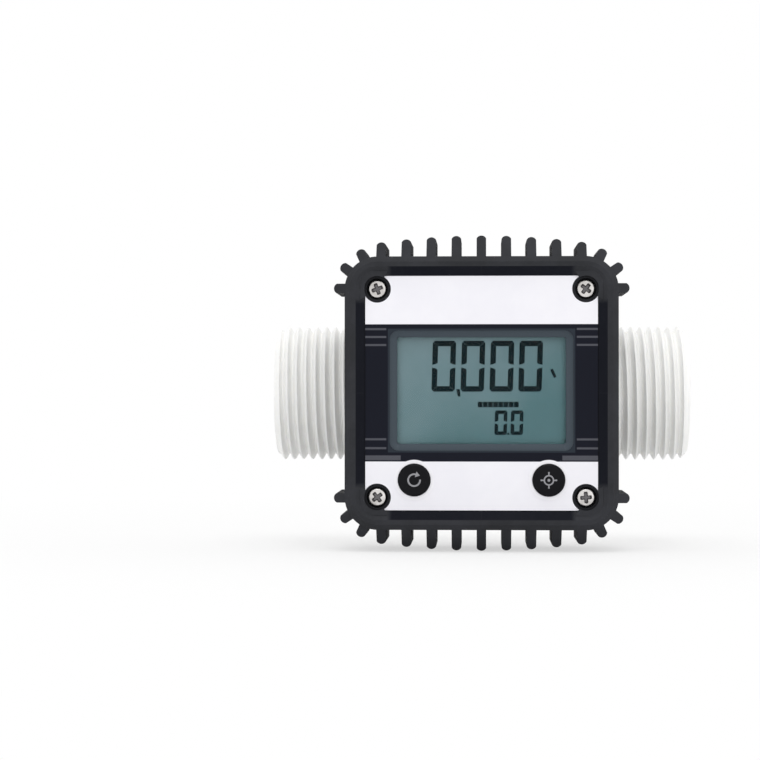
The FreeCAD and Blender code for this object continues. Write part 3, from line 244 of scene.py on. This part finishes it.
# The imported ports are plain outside, at the height of the crests. The faces there, from the neck
# to the mouth's edge, give way to the threads.
solid_points, solid_faces = merged_solid("meter_body")
from_centre = np.abs(solid_points[:, 0] - flow_centre)
from_axis = np.hypot(solid_points[:, 1], solid_points[:, 2])
port_start = port_face_to_face / 2 - thread_run - 0.01
port_inside = mouth_radius + 0.1
kept_faces = [
    face for face in solid_faces
    if min(from_centre[face]) <= port_start or np.mean(from_axis[face]) <= port_inside
]
tube_parts = [(solid_points, kept_faces)]
for end in ("inlet", "outlet"):
    port_points, (rows, columns) = thread_skin(end)
    tube_parts.append((port_points, grid_faces(rows, columns, flip=end == "inlet")))
tube_points, tube_faces = join_parts(*tube_parts)

natural_nylon = moulded_finish(
    "natural_nylon", paint(248, 248, 246), paint(242, 242, 240), (0.36, 0.5), grain=1800.0,
    cloud=45.0, depth=0.04, Subsurface_Weight=0.2, Subsurface_Scale=0.0025,
    Subsurface_Radius=(1.0, 0.95, 0.85), Specular_IOR_Level=0.4,
)
flow_tube = new_piece(
    "flow_tube", tube_points, tube_faces, natural_nylon, "housing",
)
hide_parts("meter_body")

# ---------------------------------------------------------------- straighteners and their clips
# Two acetal guides slide into the bore from the ends and take the swirl out of the liquid. A
# spring-steel ring in a groove keeps each one in, and a bronze bush in each hub carries the shaft.


def dress(node, material):
    """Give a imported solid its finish; its mesh and place stay as they are."""
    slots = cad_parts[node].data.materials
    slots.clear()
    slots.append(material)


guide_acetal = moulded_finish(
    "guide_acetal", paint(46, 48, 52), paint(38, 40, 43), (0.38, 0.5), grain=2200.0, depth=0.04,
)
for node in ("inlet_straightener", "outlet_straightener"):
    dress(node, guide_acetal)

spring_steel = moulded_finish(
    "spring_steel", paint(176, 174, 170), paint(150, 147, 142), (0.24, 0.42), grain=3800.0,
    cloud=180.0, depth=0.06, Metallic=1.0,
)
for node in ("inlet_retaining_ring", "outlet_retaining_ring"):
    dress(node, spring_steel)

bearing_bronze = moulded_finish(
    "bearing_bronze", paint(176, 132, 78), paint(150, 108, 62), (0.3, 0.48), grain=5200.0,
    cloud=240.0, depth=0.1, Metallic=1.0,
)
for node in ("inlet_bearing", "outlet_bearing"):
    dress(node, bearing_bronze)

# ---------------------------------------------------------------- rotor
# The turbine wheel is moulded in filled plastic with five twisted blades, turned on a ground
# steel pin, and carries two ferrite magnets that the pickup in the head counts.

rotor_plastic = moulded_finish(
    "rotor_plastic", paint(216, 214, 206), paint(204, 201, 190), (0.34, 0.46), grain=2400.0,
    cloud=90.0, Subsurface_Weight=0.15, Subsurface_Scale=0.001,
)
shaft_steel = moulded_finish(
    "shaft_steel", paint(206, 205, 203), paint(188, 186, 184), (0.14, 0.24), grain=6000.0,
    cloud=260.0, depth=0.03, Metallic=1.0,
)
magnet_ferrite = moulded_finish(
    "magnet_ferrite", paint(58, 57, 58), paint(46, 45, 47), (0.5, 0.66), grain=4200.0, depth=0.12,
)
dress("turbine_rotor", rotor_plastic)
dress("rotor_shaft", shaft_steel)
dress("rotor_magnets", magnet_ferrite)

# ---------------------------------------------------------------- head: tray, gasket and cover
# A black plastic tray holds the cells and the circuit board. Its cover closes on a flat rubber
# gasket, and a rubber ring seals the tray to the flange. Tray and cover are moulded with a fine
# eroded texture, and the bevel of the cover's window is slate grey.

display_up = 0.6
bezel_half_width, bezel_half_height = 21.8, 14.4
bevel_slate = paint(67, 76, 84)
head_blacks = paint(30, 31, 35), paint(24, 25, 29)

head_plastic = moulded_finish(
    "head_plastic", *head_blacks, (0.42, 0.56), grain=3200.0, depth=0.12, Specular_IOR_Level=0.3,
)
cover_plastic = moulded_finish(
    "cover_plastic", *head_blacks, (0.42, 0.56), grain=3200.0, depth=0.08, Specular_IOR_Level=0.14,
)
seal_rubber = moulded_finish(
    "seal_rubber", paint(26, 26, 27), paint(34, 34, 34), (0.6, 0.75), grain=2600.0, depth=0.1,
    Specular_IOR_Level=0.3,
)
insert_brass = moulded_finish(
    "insert_brass", paint(196, 164, 96), paint(170, 138, 76), (0.28, 0.42), grain=4800.0,
    cloud=200.0, depth=0.06, Metallic=1.0,
)


def between_group():
    """1 where Value lies between Low and High, with a soft step of Softness at either end."""
    group = bpy.data.node_groups.new("between", "ShaderNodeTree")
    for name in ("Value", "Low", "High", "Softness"):
        group.interface.new_socket(name, in_out="INPUT", socket_type="NodeSocketFloat")
    group.interface.new_socket("Mask", in_out="OUTPUT", socket_type="NodeSocketFloat")
    given = group.nodes.new("NodeGroupInput").outputs
    result = group.nodes.new("NodeGroupOutput")
    above = calc(group, "SUBTRACT", given["Value"], given["Low"])
    below = calc(group, "SUBTRACT", given["High"], given["Value"])
    rise = calc(group, "DIVIDE", above, given["Softness"], clamp=True)
    fall = calc(group, "DIVIDE", below, given["Softness"], clamp=True)
    wire(group, result.inputs["Mask"], calc(group, "MINIMUM", rise, fall))
    return group


between = between_group()


def inked(tree, value, low, high, softness=0.08):
    """The mask of the between group over a socket and two limits."""
    mask = shader_node(tree, "ShaderNodeGroup", {"node_tree": between})
    for name, number in (("Value", value), ("Low", low), ("High", high), ("Softness", softness)):
        wire(tree, mask.inputs[name], number)
    return mask.outputs["Mask"]


def own_coordinates(tree):
    """The x, y and z of a point in the object's own coordinates, in metres."""
    place = tree.nodes.new("ShaderNodeTexCoord").outputs["Object"]
    return shader_node(tree, "ShaderNodeSeparateXYZ", Vector=place).outputs


def face_coordinates(tree):
    """How far right of and above the middle of the flow axis a point lies, in millimetres."""
    place = own_coordinates(tree)
    x = calc(tree, "MULTIPLY_ADD", place[0], 1 / mm, -flow_centre)
    z = calc(tree, "MULTIPLY", place[2], 1 / mm)
    return x, z


def overprint(material, make_mask, colour):
    """Lay a second colour over a finish; make_mask gives the mask that says where."""
    tree = material.node_tree
    base = tree.nodes["Principled BSDF"].inputs["Base Color"]
    under = base.links[0].from_socket
    wire(tree, base, blend_colours(tree, make_mask(tree), under, colour))


def window_box(tree, half_width, half_height):
    """The mask of a box about the display's middle."""
    x, z = face_coordinates(tree)
    return calc(
        tree, "MINIMUM", inked(tree, x, -half_width, half_width),
        inked(tree, z, display_up - half_height, display_up + half_height),
    )


def bezel_mask(tree):
    """The bevelled frame of the window."""
    return window_box(tree, bezel_half_width, bezel_half_height)


def round_edges(piece, width):
    """Give a piece the small edge rounding that a moulding tool leaves."""
    bevel = piece.modifiers.new("edge_rounding", "BEVEL")
    bevel.width = width * mm
    bevel.segments = 2
    bevel.limit_method = "ANGLE"
    bevel.angle_limit = math.radians(40)
    bevel.use_clamp_overlap = False
    bevel.harden_normals = True


def rounded_solid(node, material, body, width):
    """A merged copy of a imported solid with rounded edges, which stands for the solid."""
    points, faces = merged_solid(node)
    piece = new_piece(f"{node}_moulded", points, faces, material, body)
    round_edges(piece, width)
    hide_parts(node)


overprint(cover_plastic, bezel_mask, bevel_slate)
rounded_solid("head_base", head_plastic, "housing", 0.25)
rounded_solid("front_cover", cover_plastic, "housing", 0.12)
for node in ("head_gasket", "base_o_ring"):
    dress(node, seal_rubber)
dress("screw_inserts", insert_brass)

# ---------------------------------------------------------------- cells and their cradle
# Two dry cells in blue shrink sleeves lie in a black cradle, between sheet contacts on its end
# walls and sprung leaves behind their flat ends. Contacts and leaves are cut from spring steel.

cell_jacket = moulded_finish(
    "cell_jacket", paint(54, 92, 118), paint(48, 84, 110), (0.22, 0.32), grain=900.0, depth=0.03,
)
dress("battery_upper", cell_jacket)
dress("battery_lower", cell_jacket)
dress("battery_cradle", head_plastic)
dress("battery_springs", spring_steel)
dress("battery_tabs", spring_steel)

# ---------------------------------------------------------------- circuit board
# A green glass-fibre board with black chips, a magnetic pickup on a stalk, two click switches with
# moving pins, and two rubber strips that join it to the display.

board_laminate = moulded_finish(
    "board_laminate", paint(30, 84, 52), paint(24, 70, 44), (0.26, 0.4), grain=1600.0,
    cloud=220.0, depth=0.08,
)
chip_epoxy = moulded_finish(
    "chip_epoxy", paint(34, 34, 36), paint(28, 28, 30), (0.45, 0.6), grain=4200.0, depth=0.1,
)
plunger_plastic = moulded_finish(
    "plunger_plastic", paint(206, 202, 190), paint(192, 188, 176), (0.35, 0.5), depth=0.04,
)
dress("circuit_board", board_laminate)
for node in ("microcontroller", "board_components", "pickup_sensor", "tact_switches"):
    dress(node, chip_epoxy)
for node in ("reset_plunger", "calibrate_plunger"):
    dress(node, plunger_plastic)
dress("board_screws", spring_steel)
dress("zebra_strips", seal_rubber)
dress("lcd_carrier", head_plastic)

# ---------------------------------------------------------------- display
# A reflective liquid-crystal panel: a grey-green polariser with soft clouds, painted lighter at the
# upper left and darker towards the lower right as painted light and shade, with dark segments. It
# shows four large figures, two small ones and a bar between them.

glass_front = 34.6
segment_height = 0.02
# Painted light and shade: the lit and the shaded tone of the polariser, and how fast it darkens to
# the right and downwards.
polariser_lit, polariser_shaded = paint(126, 149, 155), paint(86, 120, 125)
shade_per_metre_right, shade_per_metre_down = 16.0, 30.0
shade_start = -0.35
cloud_strength = 0.3

figure_lean = 0.03
segment_gap = 0.05
large_figure_lefts = (-11.85, -4.95, 1.9, 8.7)
small_figure_lefts = (3.05, 6.85)
block_count, block_first, block_pitch, block_width = 8, -0.85, 1.22, 1.12
block_low, block_high = -3.35, -2.05


def prisms(outlines, back, front):
    """Flat plates that face the display's way: each outline of N corners, given as x and z from
    the middle of the flow axis and counter-clockwise as seen from the front, becomes a prism
    between two depths."""
    outlines = np.asarray(outlines, float)
    count, corners = outlines.shape[:2]
    x = np.repeat(outlines[:, None, :, 0] + flow_centre, 2, axis=1)
    z = np.repeat(outlines[:, None, :, 1], 2, axis=1)
    y = np.broadcast_to(np.array([-back, -front])[None, :, None], x.shape)
    points = np.stack([x, y, z], axis=-1).reshape(-1, 3)
    start = (np.arange(count) * 2 * corners)[:, None]
    ring = np.arange(corners)[None, :]
    behind, ahead = start + ring, start + corners + ring
    after = (ring + 1) % corners
    sides = np.stack([
        behind, start + after, start + corners + after, ahead,
    ], axis=-1).reshape(-1, 4)
    return points, ahead.tolist() + behind[:, ::-1].tolist() + sides.tolist()


def zero_figure(left, bottom, width, height, stroke):
    """Six bars of a seven-bar zero, mitred into each other: one above and two at its sides, then
    the same upside down. The outer corners are cut by a fifth of the stroke, the side bars end in
    slanted points near half height, and all of it leans a little to the right."""
    cut = 0.2 * stroke
    point_low, point_middle, point_high = height / 2 + stroke * np.array([0.25, 0.35, 0.6])
    over = np.array([
        (width - 2 * cut, height), (2 * cut, height), (cut, height - cut),
        (stroke, height - stroke), (width - stroke, height - stroke), (width - cut, height - cut),
    ])
    side = np.array([
        (0, height - 2 * cut - segment_gap), (0, point_low), (stroke / 2, point_middle),
        (stroke, point_high), (stroke, height - stroke - segment_gap),
        (cut, height - cut - segment_gap),
    ])
    upper = np.stack([over, side, side[::-1] * (-1, 1) + (width, 0)])
    bars = np.concatenate([upper, upper[:, ::-1] * (1, -1) + (0, height)])
    bars[..., 0] += figure_lean * bars[..., 1] + left
    bars[..., 1] += bottom
    return bars


large_figures = np.concatenate([
    zero_figure(left, bottom=0.35, width=5.55, height=12.05, stroke=1.3)
    for left in large_figure_lefts
])
small_figures = np.concatenate([
    zero_figure(left, bottom=-9.9, width=2.95, height=5.8, stroke=0.85)
    for left in small_figure_lefts
])
bar_blocks = np.array([
    [(x, block_low), (x + block_width, block_low), (x + block_width, block_high), (x, block_high)]
    for x in np.arange(block_count) * block_pitch + block_first
])

# The decimal point of the large figures, the short mark at their right and the small point.
points_and_mark = np.array([
    [(-5.95, 0.95), (-5.55, -0.8), (-4.95, -0.8), (-5.1, 0.95)],
    [(16.25, 5.5), (17.15, 3.55), (17.75, 3.9), (16.85, 5.8)],
    [(6.15, -9.9), (6.6, -9.9), (6.6, -9.35), (6.15, -9.35)],
])


def display_finish():
    """The panel's polariser: a grey-green with soft clouds, lighter at the upper left and darker
    towards the lower right as painted light and shade.
    """
    material = moulded_finish(
        "display_glass", polariser_lit, polariser_shaded, (0.3, 0.38), grain=5000.0,
        cloud=38.0, depth=0.01, Specular_IOR_Level=0.1,
    )
    tree = material.node_tree
    shader = tree.nodes["Principled BSDF"]
    place = own_coordinates(tree)
    # Painted light and shade: the polariser is made darker towards the lower right.
    across = calc(tree, "MULTIPLY_ADD", place[0], shade_per_metre_right, shade_start)
    slope = calc(tree, "MULTIPLY_ADD", place[2], -shade_per_metre_down, across)
    mottle = next(node for node in tree.nodes if node.type == "GROUP").outputs["Mottle"]
    share = calc(tree, "MULTIPLY_ADD", mottle, cloud_strength, slope, clamp=True)
    tone = blend_colours(tree, share, polariser_lit, polariser_shaded)
    wire(tree, shader.inputs["Base Color"], tone)
    return material


display_glass = display_finish()
dress("lcd_panel", display_glass)
segment_ink = moulded_finish(
    "segment_ink", paint(1, 20, 25), paint(3, 24, 29), (0.35, 0.45), depth=0.01,
    Specular_IOR_Level=0.05,
)
segment_points, segment_faces = join_parts(*[
    prisms(group, glass_front, glass_front + segment_height)
    for group in (large_figures, small_figures, bar_blocks, points_and_mark)
])
new_piece(
    "display_segments", segment_points, segment_faces, segment_ink, "housing",
)

# ---------------------------------------------------------------- window pane
# A clear acrylic pane is bonded behind the cover's bevelled window. It has an anti-glare coat, so
# that it mirrors less of the room than bare acrylic does.


def clear_pane_finish():
    """Clear acrylic that lets lamp light straight through to the display."""
    material = bpy.data.materials.new("clear_pane")
    material.use_nodes = True
    tree = material.node_tree
    shader = tree.nodes["Principled BSDF"]
    shader.inputs["Base Color"].default_value = (0.98, 0.99, 0.99, 1)
    shader.inputs["Roughness"].default_value = 0.02
    shader.inputs["IOR"].default_value = 1.14
    shader.inputs["Transmission Weight"].default_value = 1.0
    through = tree.nodes.new("ShaderNodeBsdfTransparent")
    rays = tree.nodes.new("ShaderNodeLightPath")
    either = tree.nodes.new("ShaderNodeMixShader")
    wire(tree, either.inputs[0], rays.outputs["Is Shadow Ray"])
    wire(tree, either.inputs[1], shader.outputs[0])
    wire(tree, either.inputs[2], through.outputs[0])
    wire(tree, tree.nodes["Material Output"].inputs["Surface"], either.outputs[0])
    return material


clear_pane = clear_pane_finish()
dress("window_lens", clear_pane)

# ---------------------------------------------------------------- printed face
# A polyester film, printed from behind and stuck to the cover: white at top and bottom, black
# round the window, white rings round the keys, and groups of fine grey lines at the sides.

black_top, black_bottom = 16.3, -16.2
frame_half_width, frame_half_height = 22.1, 14.65
key_across, key_up = 15.85, -20.5
key_disc_radius = 4.8
line_start, line_end = 22.4, 28.0
line_heights = (15.1, 13.25, 11.35, -10.9, -13.0)
line_thickness, line_softness = 0.6, 0.12
sill_start, sill_low, sill_high = 19.0, -15.9, -14.65
no_lower_limit = -1.0


def key_disc_mask(tree, x, z):
    """A disc under each key, from the distance to the nearer key's middle."""
    across = calc(tree, "SUBTRACT", calc(tree, "ABSOLUTE", x), key_across)
    up = calc(tree, "SUBTRACT", z, key_up)
    square = calc(tree, "MULTIPLY_ADD", across, across, calc(tree, "MULTIPLY", up, up))
    return inked(tree, calc(tree, "SQRT", square), no_lower_limit, key_disc_radius)


def black_mask(tree):
    """The black ink: a band across the face, less the discs under the keys."""
    x, z = face_coordinates(tree)
    discs = key_disc_mask(tree, x, z)
    return calc(tree, "SUBTRACT", inked(tree, z, black_bottom, black_top), discs, clamp=True)


def frame_mask(tree):
    """The dark slate ink: a narrow frame round the window's bevel."""
    return window_box(tree, frame_half_width, frame_half_height)


def line_mask(tree):
    """The grey ink: fine lines at both sides of the window and a broader one at the sill."""
    x, z = face_coordinates(tree)
    side = calc(tree, "ABSOLUTE", x)
    lines = 0.0
    for height in line_heights:
        low, high = height - line_thickness / 2, height + line_thickness / 2
        lines = calc(tree, "MAXIMUM", lines, inked(tree, z, low, high, line_softness))
    lines = calc(tree, "MINIMUM", lines, inked(tree, side, line_start, line_end))
    sill = inked(tree, z, sill_low, sill_high, line_softness)
    sill = calc(tree, "MINIMUM", sill, inked(tree, side, sill_start, line_end))
    return calc(tree, "MAXIMUM", lines, sill)


printed_film = moulded_finish(
    "printed_film", paint(242, 241, 246), paint(238, 237, 243), (0.4, 0.46), grain=4200.0,
    cloud=50.0, depth=0.03, Specular_IOR_Level=0.08,
)
overprint(printed_film, black_mask, paint(22, 24, 34))
overprint(printed_film, line_mask, paint(80, 81, 88))
overprint(printed_film, frame_mask, paint(44, 50, 58))
dress("face_overlay", printed_film)

# ---------------------------------------------------------------- keys
# Two round black keys stand a little proud of the face and move in rubber-sealed holes, each in a
# thin white trim ring. They have plain pad-printed signs: a turning arrow to set back to nought,
# and an aiming ring to calibrate.

key_top = 38.0
sign_height = 0.015
film_front = 37.2
trim_inner, trim_outer, trim_height = 3.91, 4.75, 0.12
turn_inner, turn_outer, turn_start, turn_sweep = 1.2, 1.6, 75, 290
arrow_half_width, arrow_length = 0.7, 1.05
aim_inner, aim_outer, tick_end, tick_sweep, dot_radius = 0.92, 1.25, 1.95, 12, 0.34


def arc_plates(centre, inner, outer, start, sweep, steps):
    """An arc of a flat ring as equal four-cornered plates; angles run counter-clockwise from
    the right, in degrees."""
    angles = np.radians(start + sweep * np.arange(steps + 1) / steps)
    way = np.stack([np.cos(angles), np.sin(angles)], axis=-1)
    near, far = way * inner + centre, way * outer + centre
    return np.stack([near[:-1], far[:-1], far[1:], near[1:]], axis=1)


key_plastic = moulded_finish(
    "key_plastic", paint(20, 20, 23), paint(15, 15, 18), (0.3, 0.4), grain=2600.0, depth=0.03,
    Specular_IOR_Level=0.09,
)
sign_ink = moulded_finish(
    "sign_ink", paint(150, 150, 154), paint(140, 140, 144), (0.45, 0.55), depth=0.02,
    Specular_IOR_Level=0.2,
)
reset_place = np.array([-key_across, key_up])
turn_arc = arc_plates(reset_place, turn_inner, turn_outer, turn_start, turn_sweep, 28)
arrow_angle = math.radians(turn_start)
outwards = np.array([math.cos(arrow_angle), math.sin(arrow_angle)])
onwards = np.array([math.sin(arrow_angle), -math.cos(arrow_angle)])
arrow_foot = reset_place + (turn_inner + turn_outer) / 2 * outwards
arrow_head = np.array([[
    arrow_foot + arrow_half_width * outwards, arrow_foot + arrow_length * onwards,
    arrow_foot - arrow_half_width * outwards,
]])
calibrate_place = np.array([key_across, key_up])
aim_ring = arc_plates(calibrate_place, aim_inner, aim_outer, 0, 360, 32)
aim_ticks = np.concatenate([
    arc_plates(calibrate_place, aim_outer, tick_end, angle - tick_sweep / 2, tick_sweep, 1)
    for angle in (0, 90, 180, 270)
])
aim_dot = arc_plates(calibrate_place, 0.0, dot_radius, 0, 360, 12)
trim_white = moulded_finish(
    "trim_white", paint(244, 243, 247), paint(240, 239, 244), (0.35, 0.42), depth=0.02,
    Specular_IOR_Level=0.25,
)
trim_points, trim_faces = join_parts(*[
    prisms(
        arc_plates(place, trim_inner, trim_outer, 0, 360, 64),
        film_front, film_front + trim_height,
    )
    for place in (reset_place, calibrate_place)
])
new_piece("key_trims", trim_points, trim_faces, trim_white, "housing")
for key in ("reset", "calibrate"):
    rounded_solid(f"{key}_button", key_plastic, f"{key}_key", 0.12)
    dress(f"{key}_button_seal", seal_rubber)
for key, sign in (
    ("reset", (turn_arc, arrow_head)), ("calibrate", (aim_ring, aim_ticks, aim_dot)),
):
    sign_points, sign_faces = join_parts(*[
        prisms(plates, key_top, key_top + sign_height) for plates in sign
    ])
    new_piece(f"{key}_sign", sign_points, sign_faces, sign_ink, f"{key}_key")

# ---------------------------------------------------------------- cover screws
# Four long zinc-plated steel screws with low domed heads and cross recesses clamp cover, gasket and
# tray to the flange. Each one stopped at its own turn.

screw_across = 24.6
screw_head_radius = 2.2
screw_head_front, screw_head_back = 37.15, 35.6
shank_radius, shank_end = 1.5, 13.6
dome_fall = 0.42
rim_start, rim_fall = 0.8, 0.45
recess_depth = 1.0
arm_half_width, arm_side_slope = 0.44, 0.14
arm_reach, arm_end_slope = 1.4, 0.4
screw_rows, screw_columns = 44, 96

# The turn in degrees at which each screw stopped, by its corner: -1 for left or low, 1 for right
# or high.
screw_turns = {(-1, 1): 20, (1, 1): 52, (-1, -1): 38, (1, -1): 4}


def screw_surface(across, up, turn):
    """One screw as rows of points round its axis, and each point's share of the recess's depth.

    The head's front falls with the square of the distance from its middle, and in the rim with
    the cube of the way into the rim. A cross is sunk into it: two arms with sloping sides and
    ends. Straight rows carry the edge back to the shank's end.
    """
    share = np.linspace(0, 1, screw_rows)[:, None]
    angle = np.linspace(0, 2 * np.pi, screw_columns, endpoint=False)[None, :]
    way = np.sin(share * np.pi / 2)
    into_rim = np.clip((way - rim_start) / (1 - rim_start), 0, 1)
    depth = screw_head_front - dome_fall * way ** 2 - rim_fall * into_rim ** 3
    reach = screw_head_radius * way
    first = np.abs(reach * np.cos(angle - turn))
    second = np.abs(reach * np.sin(angle - turn))
    arm_side = np.clip((arm_half_width - np.minimum(first, second)) / arm_side_slope, 0, 1)
    arm_end = np.clip((arm_reach - np.maximum(first, second)) / arm_end_slope, 0, 1)
    cross = arm_side * arm_end
    depth = depth - recess_depth * cross
    reach = np.broadcast_to(reach, depth.shape)
    ring = np.ones((1, depth.shape[1]))
    reach = np.vstack([
        reach, screw_head_radius * ring, shank_radius * ring, shank_radius * ring, 0 * ring,
    ])
    depth = np.vstack([
        depth, screw_head_back * ring, screw_head_back * ring, shank_end * ring, shank_end * ring,
    ])
    x = flow_centre + across + reach * np.cos(angle)
    z = up + reach * np.sin(angle)
    sunk = np.zeros(depth.shape)
    sunk[:len(cross)] = cross
    return np.stack([x, -depth, z], axis=-1).reshape(-1, 3), depth.shape, sunk.ravel()


screw_parts, screw_recesses = [], []
for (side, height), turn in screw_turns.items():
    screw_points, (rows, columns), sunk = screw_surface(
        side * screw_across, height * screw_across, math.radians(turn),
    )
    screw_parts.append((screw_points, grid_faces(rows, columns)))
    screw_recesses.append(sunk)
screw_points, screw_faces = join_parts(*screw_parts)
screw_steel = moulded_finish(
    "screw_steel", paint(222, 219, 217), paint(196, 193, 190), (0.22, 0.36), grain=2600.0,
    cloud=420.0, depth=0.08, Metallic=1.0,
)


def recess_shade_mask(tree):
    """How deep in the cross recess a point lies; the recess is painted darker there as painted
    shade.
    """
    return shader_node(tree, "ShaderNodeAttribute", {"attribute_name": "recess"}).outputs["Fac"]


# Painted shade: the cross recess of each screw is darkened by its depth.
overprint(screw_steel, recess_shade_mask, paint(108, 106, 108))
screws = new_piece(
    "screws", screw_points, screw_faces, screw_steel, "housing", sharp=50,
)
recess = screws.data.attributes.new("recess", "FLOAT", "POINT")
recess.data.foreach_set("value", np.concatenate(screw_recesses))
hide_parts("cover_screws")

# ---------------------------------------------------------------- rubber boot
# A moulded rubber boot is pulled over the whole head against knocks, with bumper fins all round.
# Its skin is matt charcoal in two close tones, and the inner slope of its front lip is painted
# darker as painted shade.

lip_half_width, lip_half_height, lip_softness = 29.7, 29.95, 0.15
lip_straight_end, lip_fade = 22.3, 1.2
lip_depth = 30.0

boot_rubber = moulded_finish(
    "boot_rubber", paint(45, 46, 49), paint(54, 55, 59), (0.6, 0.75), grain=2200.0, cloud=90.0,
    depth=0.12, Specular_IOR_Level=0.1,
)


def shaded_lip_mask(tree):
    """The front lip's inner slope along the four sides, but not at the corners, where the boot is
    painted darker as shade.
    """
    x, z = face_coordinates(tree)
    side, high = calc(tree, "ABSOLUTE", x), calc(tree, "ABSOLUTE", z)
    inside = calc(
        tree, "MINIMUM", inked(tree, side, no_lower_limit, lip_half_width, lip_softness),
        inked(tree, high, no_lower_limit, lip_half_height, lip_softness),
    )
    nearer = calc(tree, "MINIMUM", side, high)
    straight = inked(tree, nearer, no_lower_limit, lip_straight_end, lip_fade)
    in_front = calc(tree, "LESS_THAN", own_coordinates(tree)[1], -lip_depth * mm)
    return calc(tree, "MULTIPLY", calc(tree, "MINIMUM", inside, straight), in_front)


# Painted shade: the inner slope of the boot's front lip is darkened.
overprint(boot_rubber, shaded_lip_mask, paint(17, 19, 27))
dress("rubber_boot", boot_rubber)

# ---------------------------------------------------------------- floor, light and camera
# A pale floor and a white room. Two large soft lamps and the even white light of the room, the
# camera at the height of the flow axis, straight in front of the meter.

floor_level = -37.55
floor_reach = 3000.0
clearing_centre = (flow_centre * mm, -0.01, floor_level * mm)
clearing_start, clearing_end, clearing_least = 0.05, 0.3, 0.6
room_level = 0.95
lamps_aim = Vector((flow_centre * mm, -0.02, 0))


def seen_rays(tree):
    """1 for rays from the camera, from mirror-like surfaces and through clear ones."""
    rays = tree.nodes.new("ShaderNodeLightPath").outputs
    through = calc(tree, "MAXIMUM", rays["Is Glossy Ray"], rays["Is Transmission Ray"])
    return calc(tree, "MAXIMUM", rays["Is Camera Ray"], through)


floor = bpy.data.objects.new("floor", bpy.data.meshes.new("floor"))
floor_corners = floor_reach * np.array([(-1, -1, 0), (1, -1, 0), (1, 1, 0), (-1, 1, 0)])
fill_mesh(floor.data, floor_corners + (0, 0, floor_level), [[0, 1, 2, 3]])
floor_paint = bpy.data.materials.new("floor_paint")
floor_paint.use_nodes = True
tree = floor_paint.node_tree
shader = tree.nodes["Principled BSDF"]
shader.inputs["Base Color"].default_value = (0.86, 0.86, 0.86, 1)
shader.inputs["Roughness"].default_value = 0.8
shader.inputs["Specular IOR Level"].default_value = 0.1
glow = shader_node(tree, "ShaderNodeEmission", Strength=1.0)

# Far from the meter the floor is seen as plain white, and near it as its own paint with the
# meter's shadow, in part.
away = shader_node(tree, "ShaderNodeVectorMath", {"operation": "DISTANCE"})
wire(tree, away.inputs[0], tree.nodes.new("ShaderNodeTexCoord").outputs["Object"])
wire(tree, away.inputs[1], clearing_centre)
clearing = shader_node(
    tree, "ShaderNodeMapRange", {"interpolation_type": "SMOOTHSTEP"},
    Value=away.outputs["Value"], From_Min=clearing_start, From_Max=clearing_end,
    To_Min=clearing_least, To_Max=1.0,
)
cover = tree.nodes.new("ShaderNodeMixShader")
wire(tree, cover.inputs[0], calc(tree, "MULTIPLY", seen_rays(tree), clearing.outputs[0]))
wire(tree, cover.inputs[1], shader.outputs[0])
wire(tree, cover.inputs[2], glow.outputs[0])
wire(tree, tree.nodes["Material Output"].inputs["Surface"], cover.outputs[0])
floor.data.materials.append(floor_paint)
scene.collection.objects.link(floor)

room = bpy.data.worlds.new("room")
room.use_nodes = True
scene.world = room
tree = room.node_tree
light = tree.nodes["Background"]
light.inputs["Color"].default_value = (1, 1, 1, 1)
level = shader_node(
    tree, "ShaderNodeMapRange", Value=seen_rays(tree), To_Min=room_level, To_Max=1.0,
)
wire(tree, light.inputs["Strength"], level.outputs[0])

for name, place, size, power in (
    ("key_lamp", (0.05, -0.4, 1.0), 0.7, 2.8),
    ("fill_lamp", (0.6, -0.6, 0.1), 0.6, 0.4),
):
    lamp_data = bpy.data.lights.new(name, "AREA")
    lamp_data.energy = power
    lamp_data.size = size
    lamp = bpy.data.objects.new(name, lamp_data)
    lamp.location = place
    lamp.rotation_mode = "QUATERNION"
    lamp.rotation_quaternion = (lamps_aim - lamp.location).to_track_quat("-Z", "Y")
    scene.collection.objects.link(lamp)

camera_distance = 0.6
focal_length = 113.0
object_centre = Vector((flow_centre * mm, 0, 0))
looked_at = object_centre + Vector((-0.0255, 0, 0.0033))
camera_data = bpy.data.cameras.new("camera")
camera_data.lens = focal_length
camera_data.sensor_width = 36
camera = bpy.data.objects.new("camera", camera_data)
camera.location = object_centre + Vector((0, -camera_distance, 0))
camera.rotation_mode = "QUATERNION"
camera.rotation_quaternion = (looked_at - camera.location).to_track_quat("-Z", "Y")
scene.collection.objects.link(camera)
scene.camera = camera
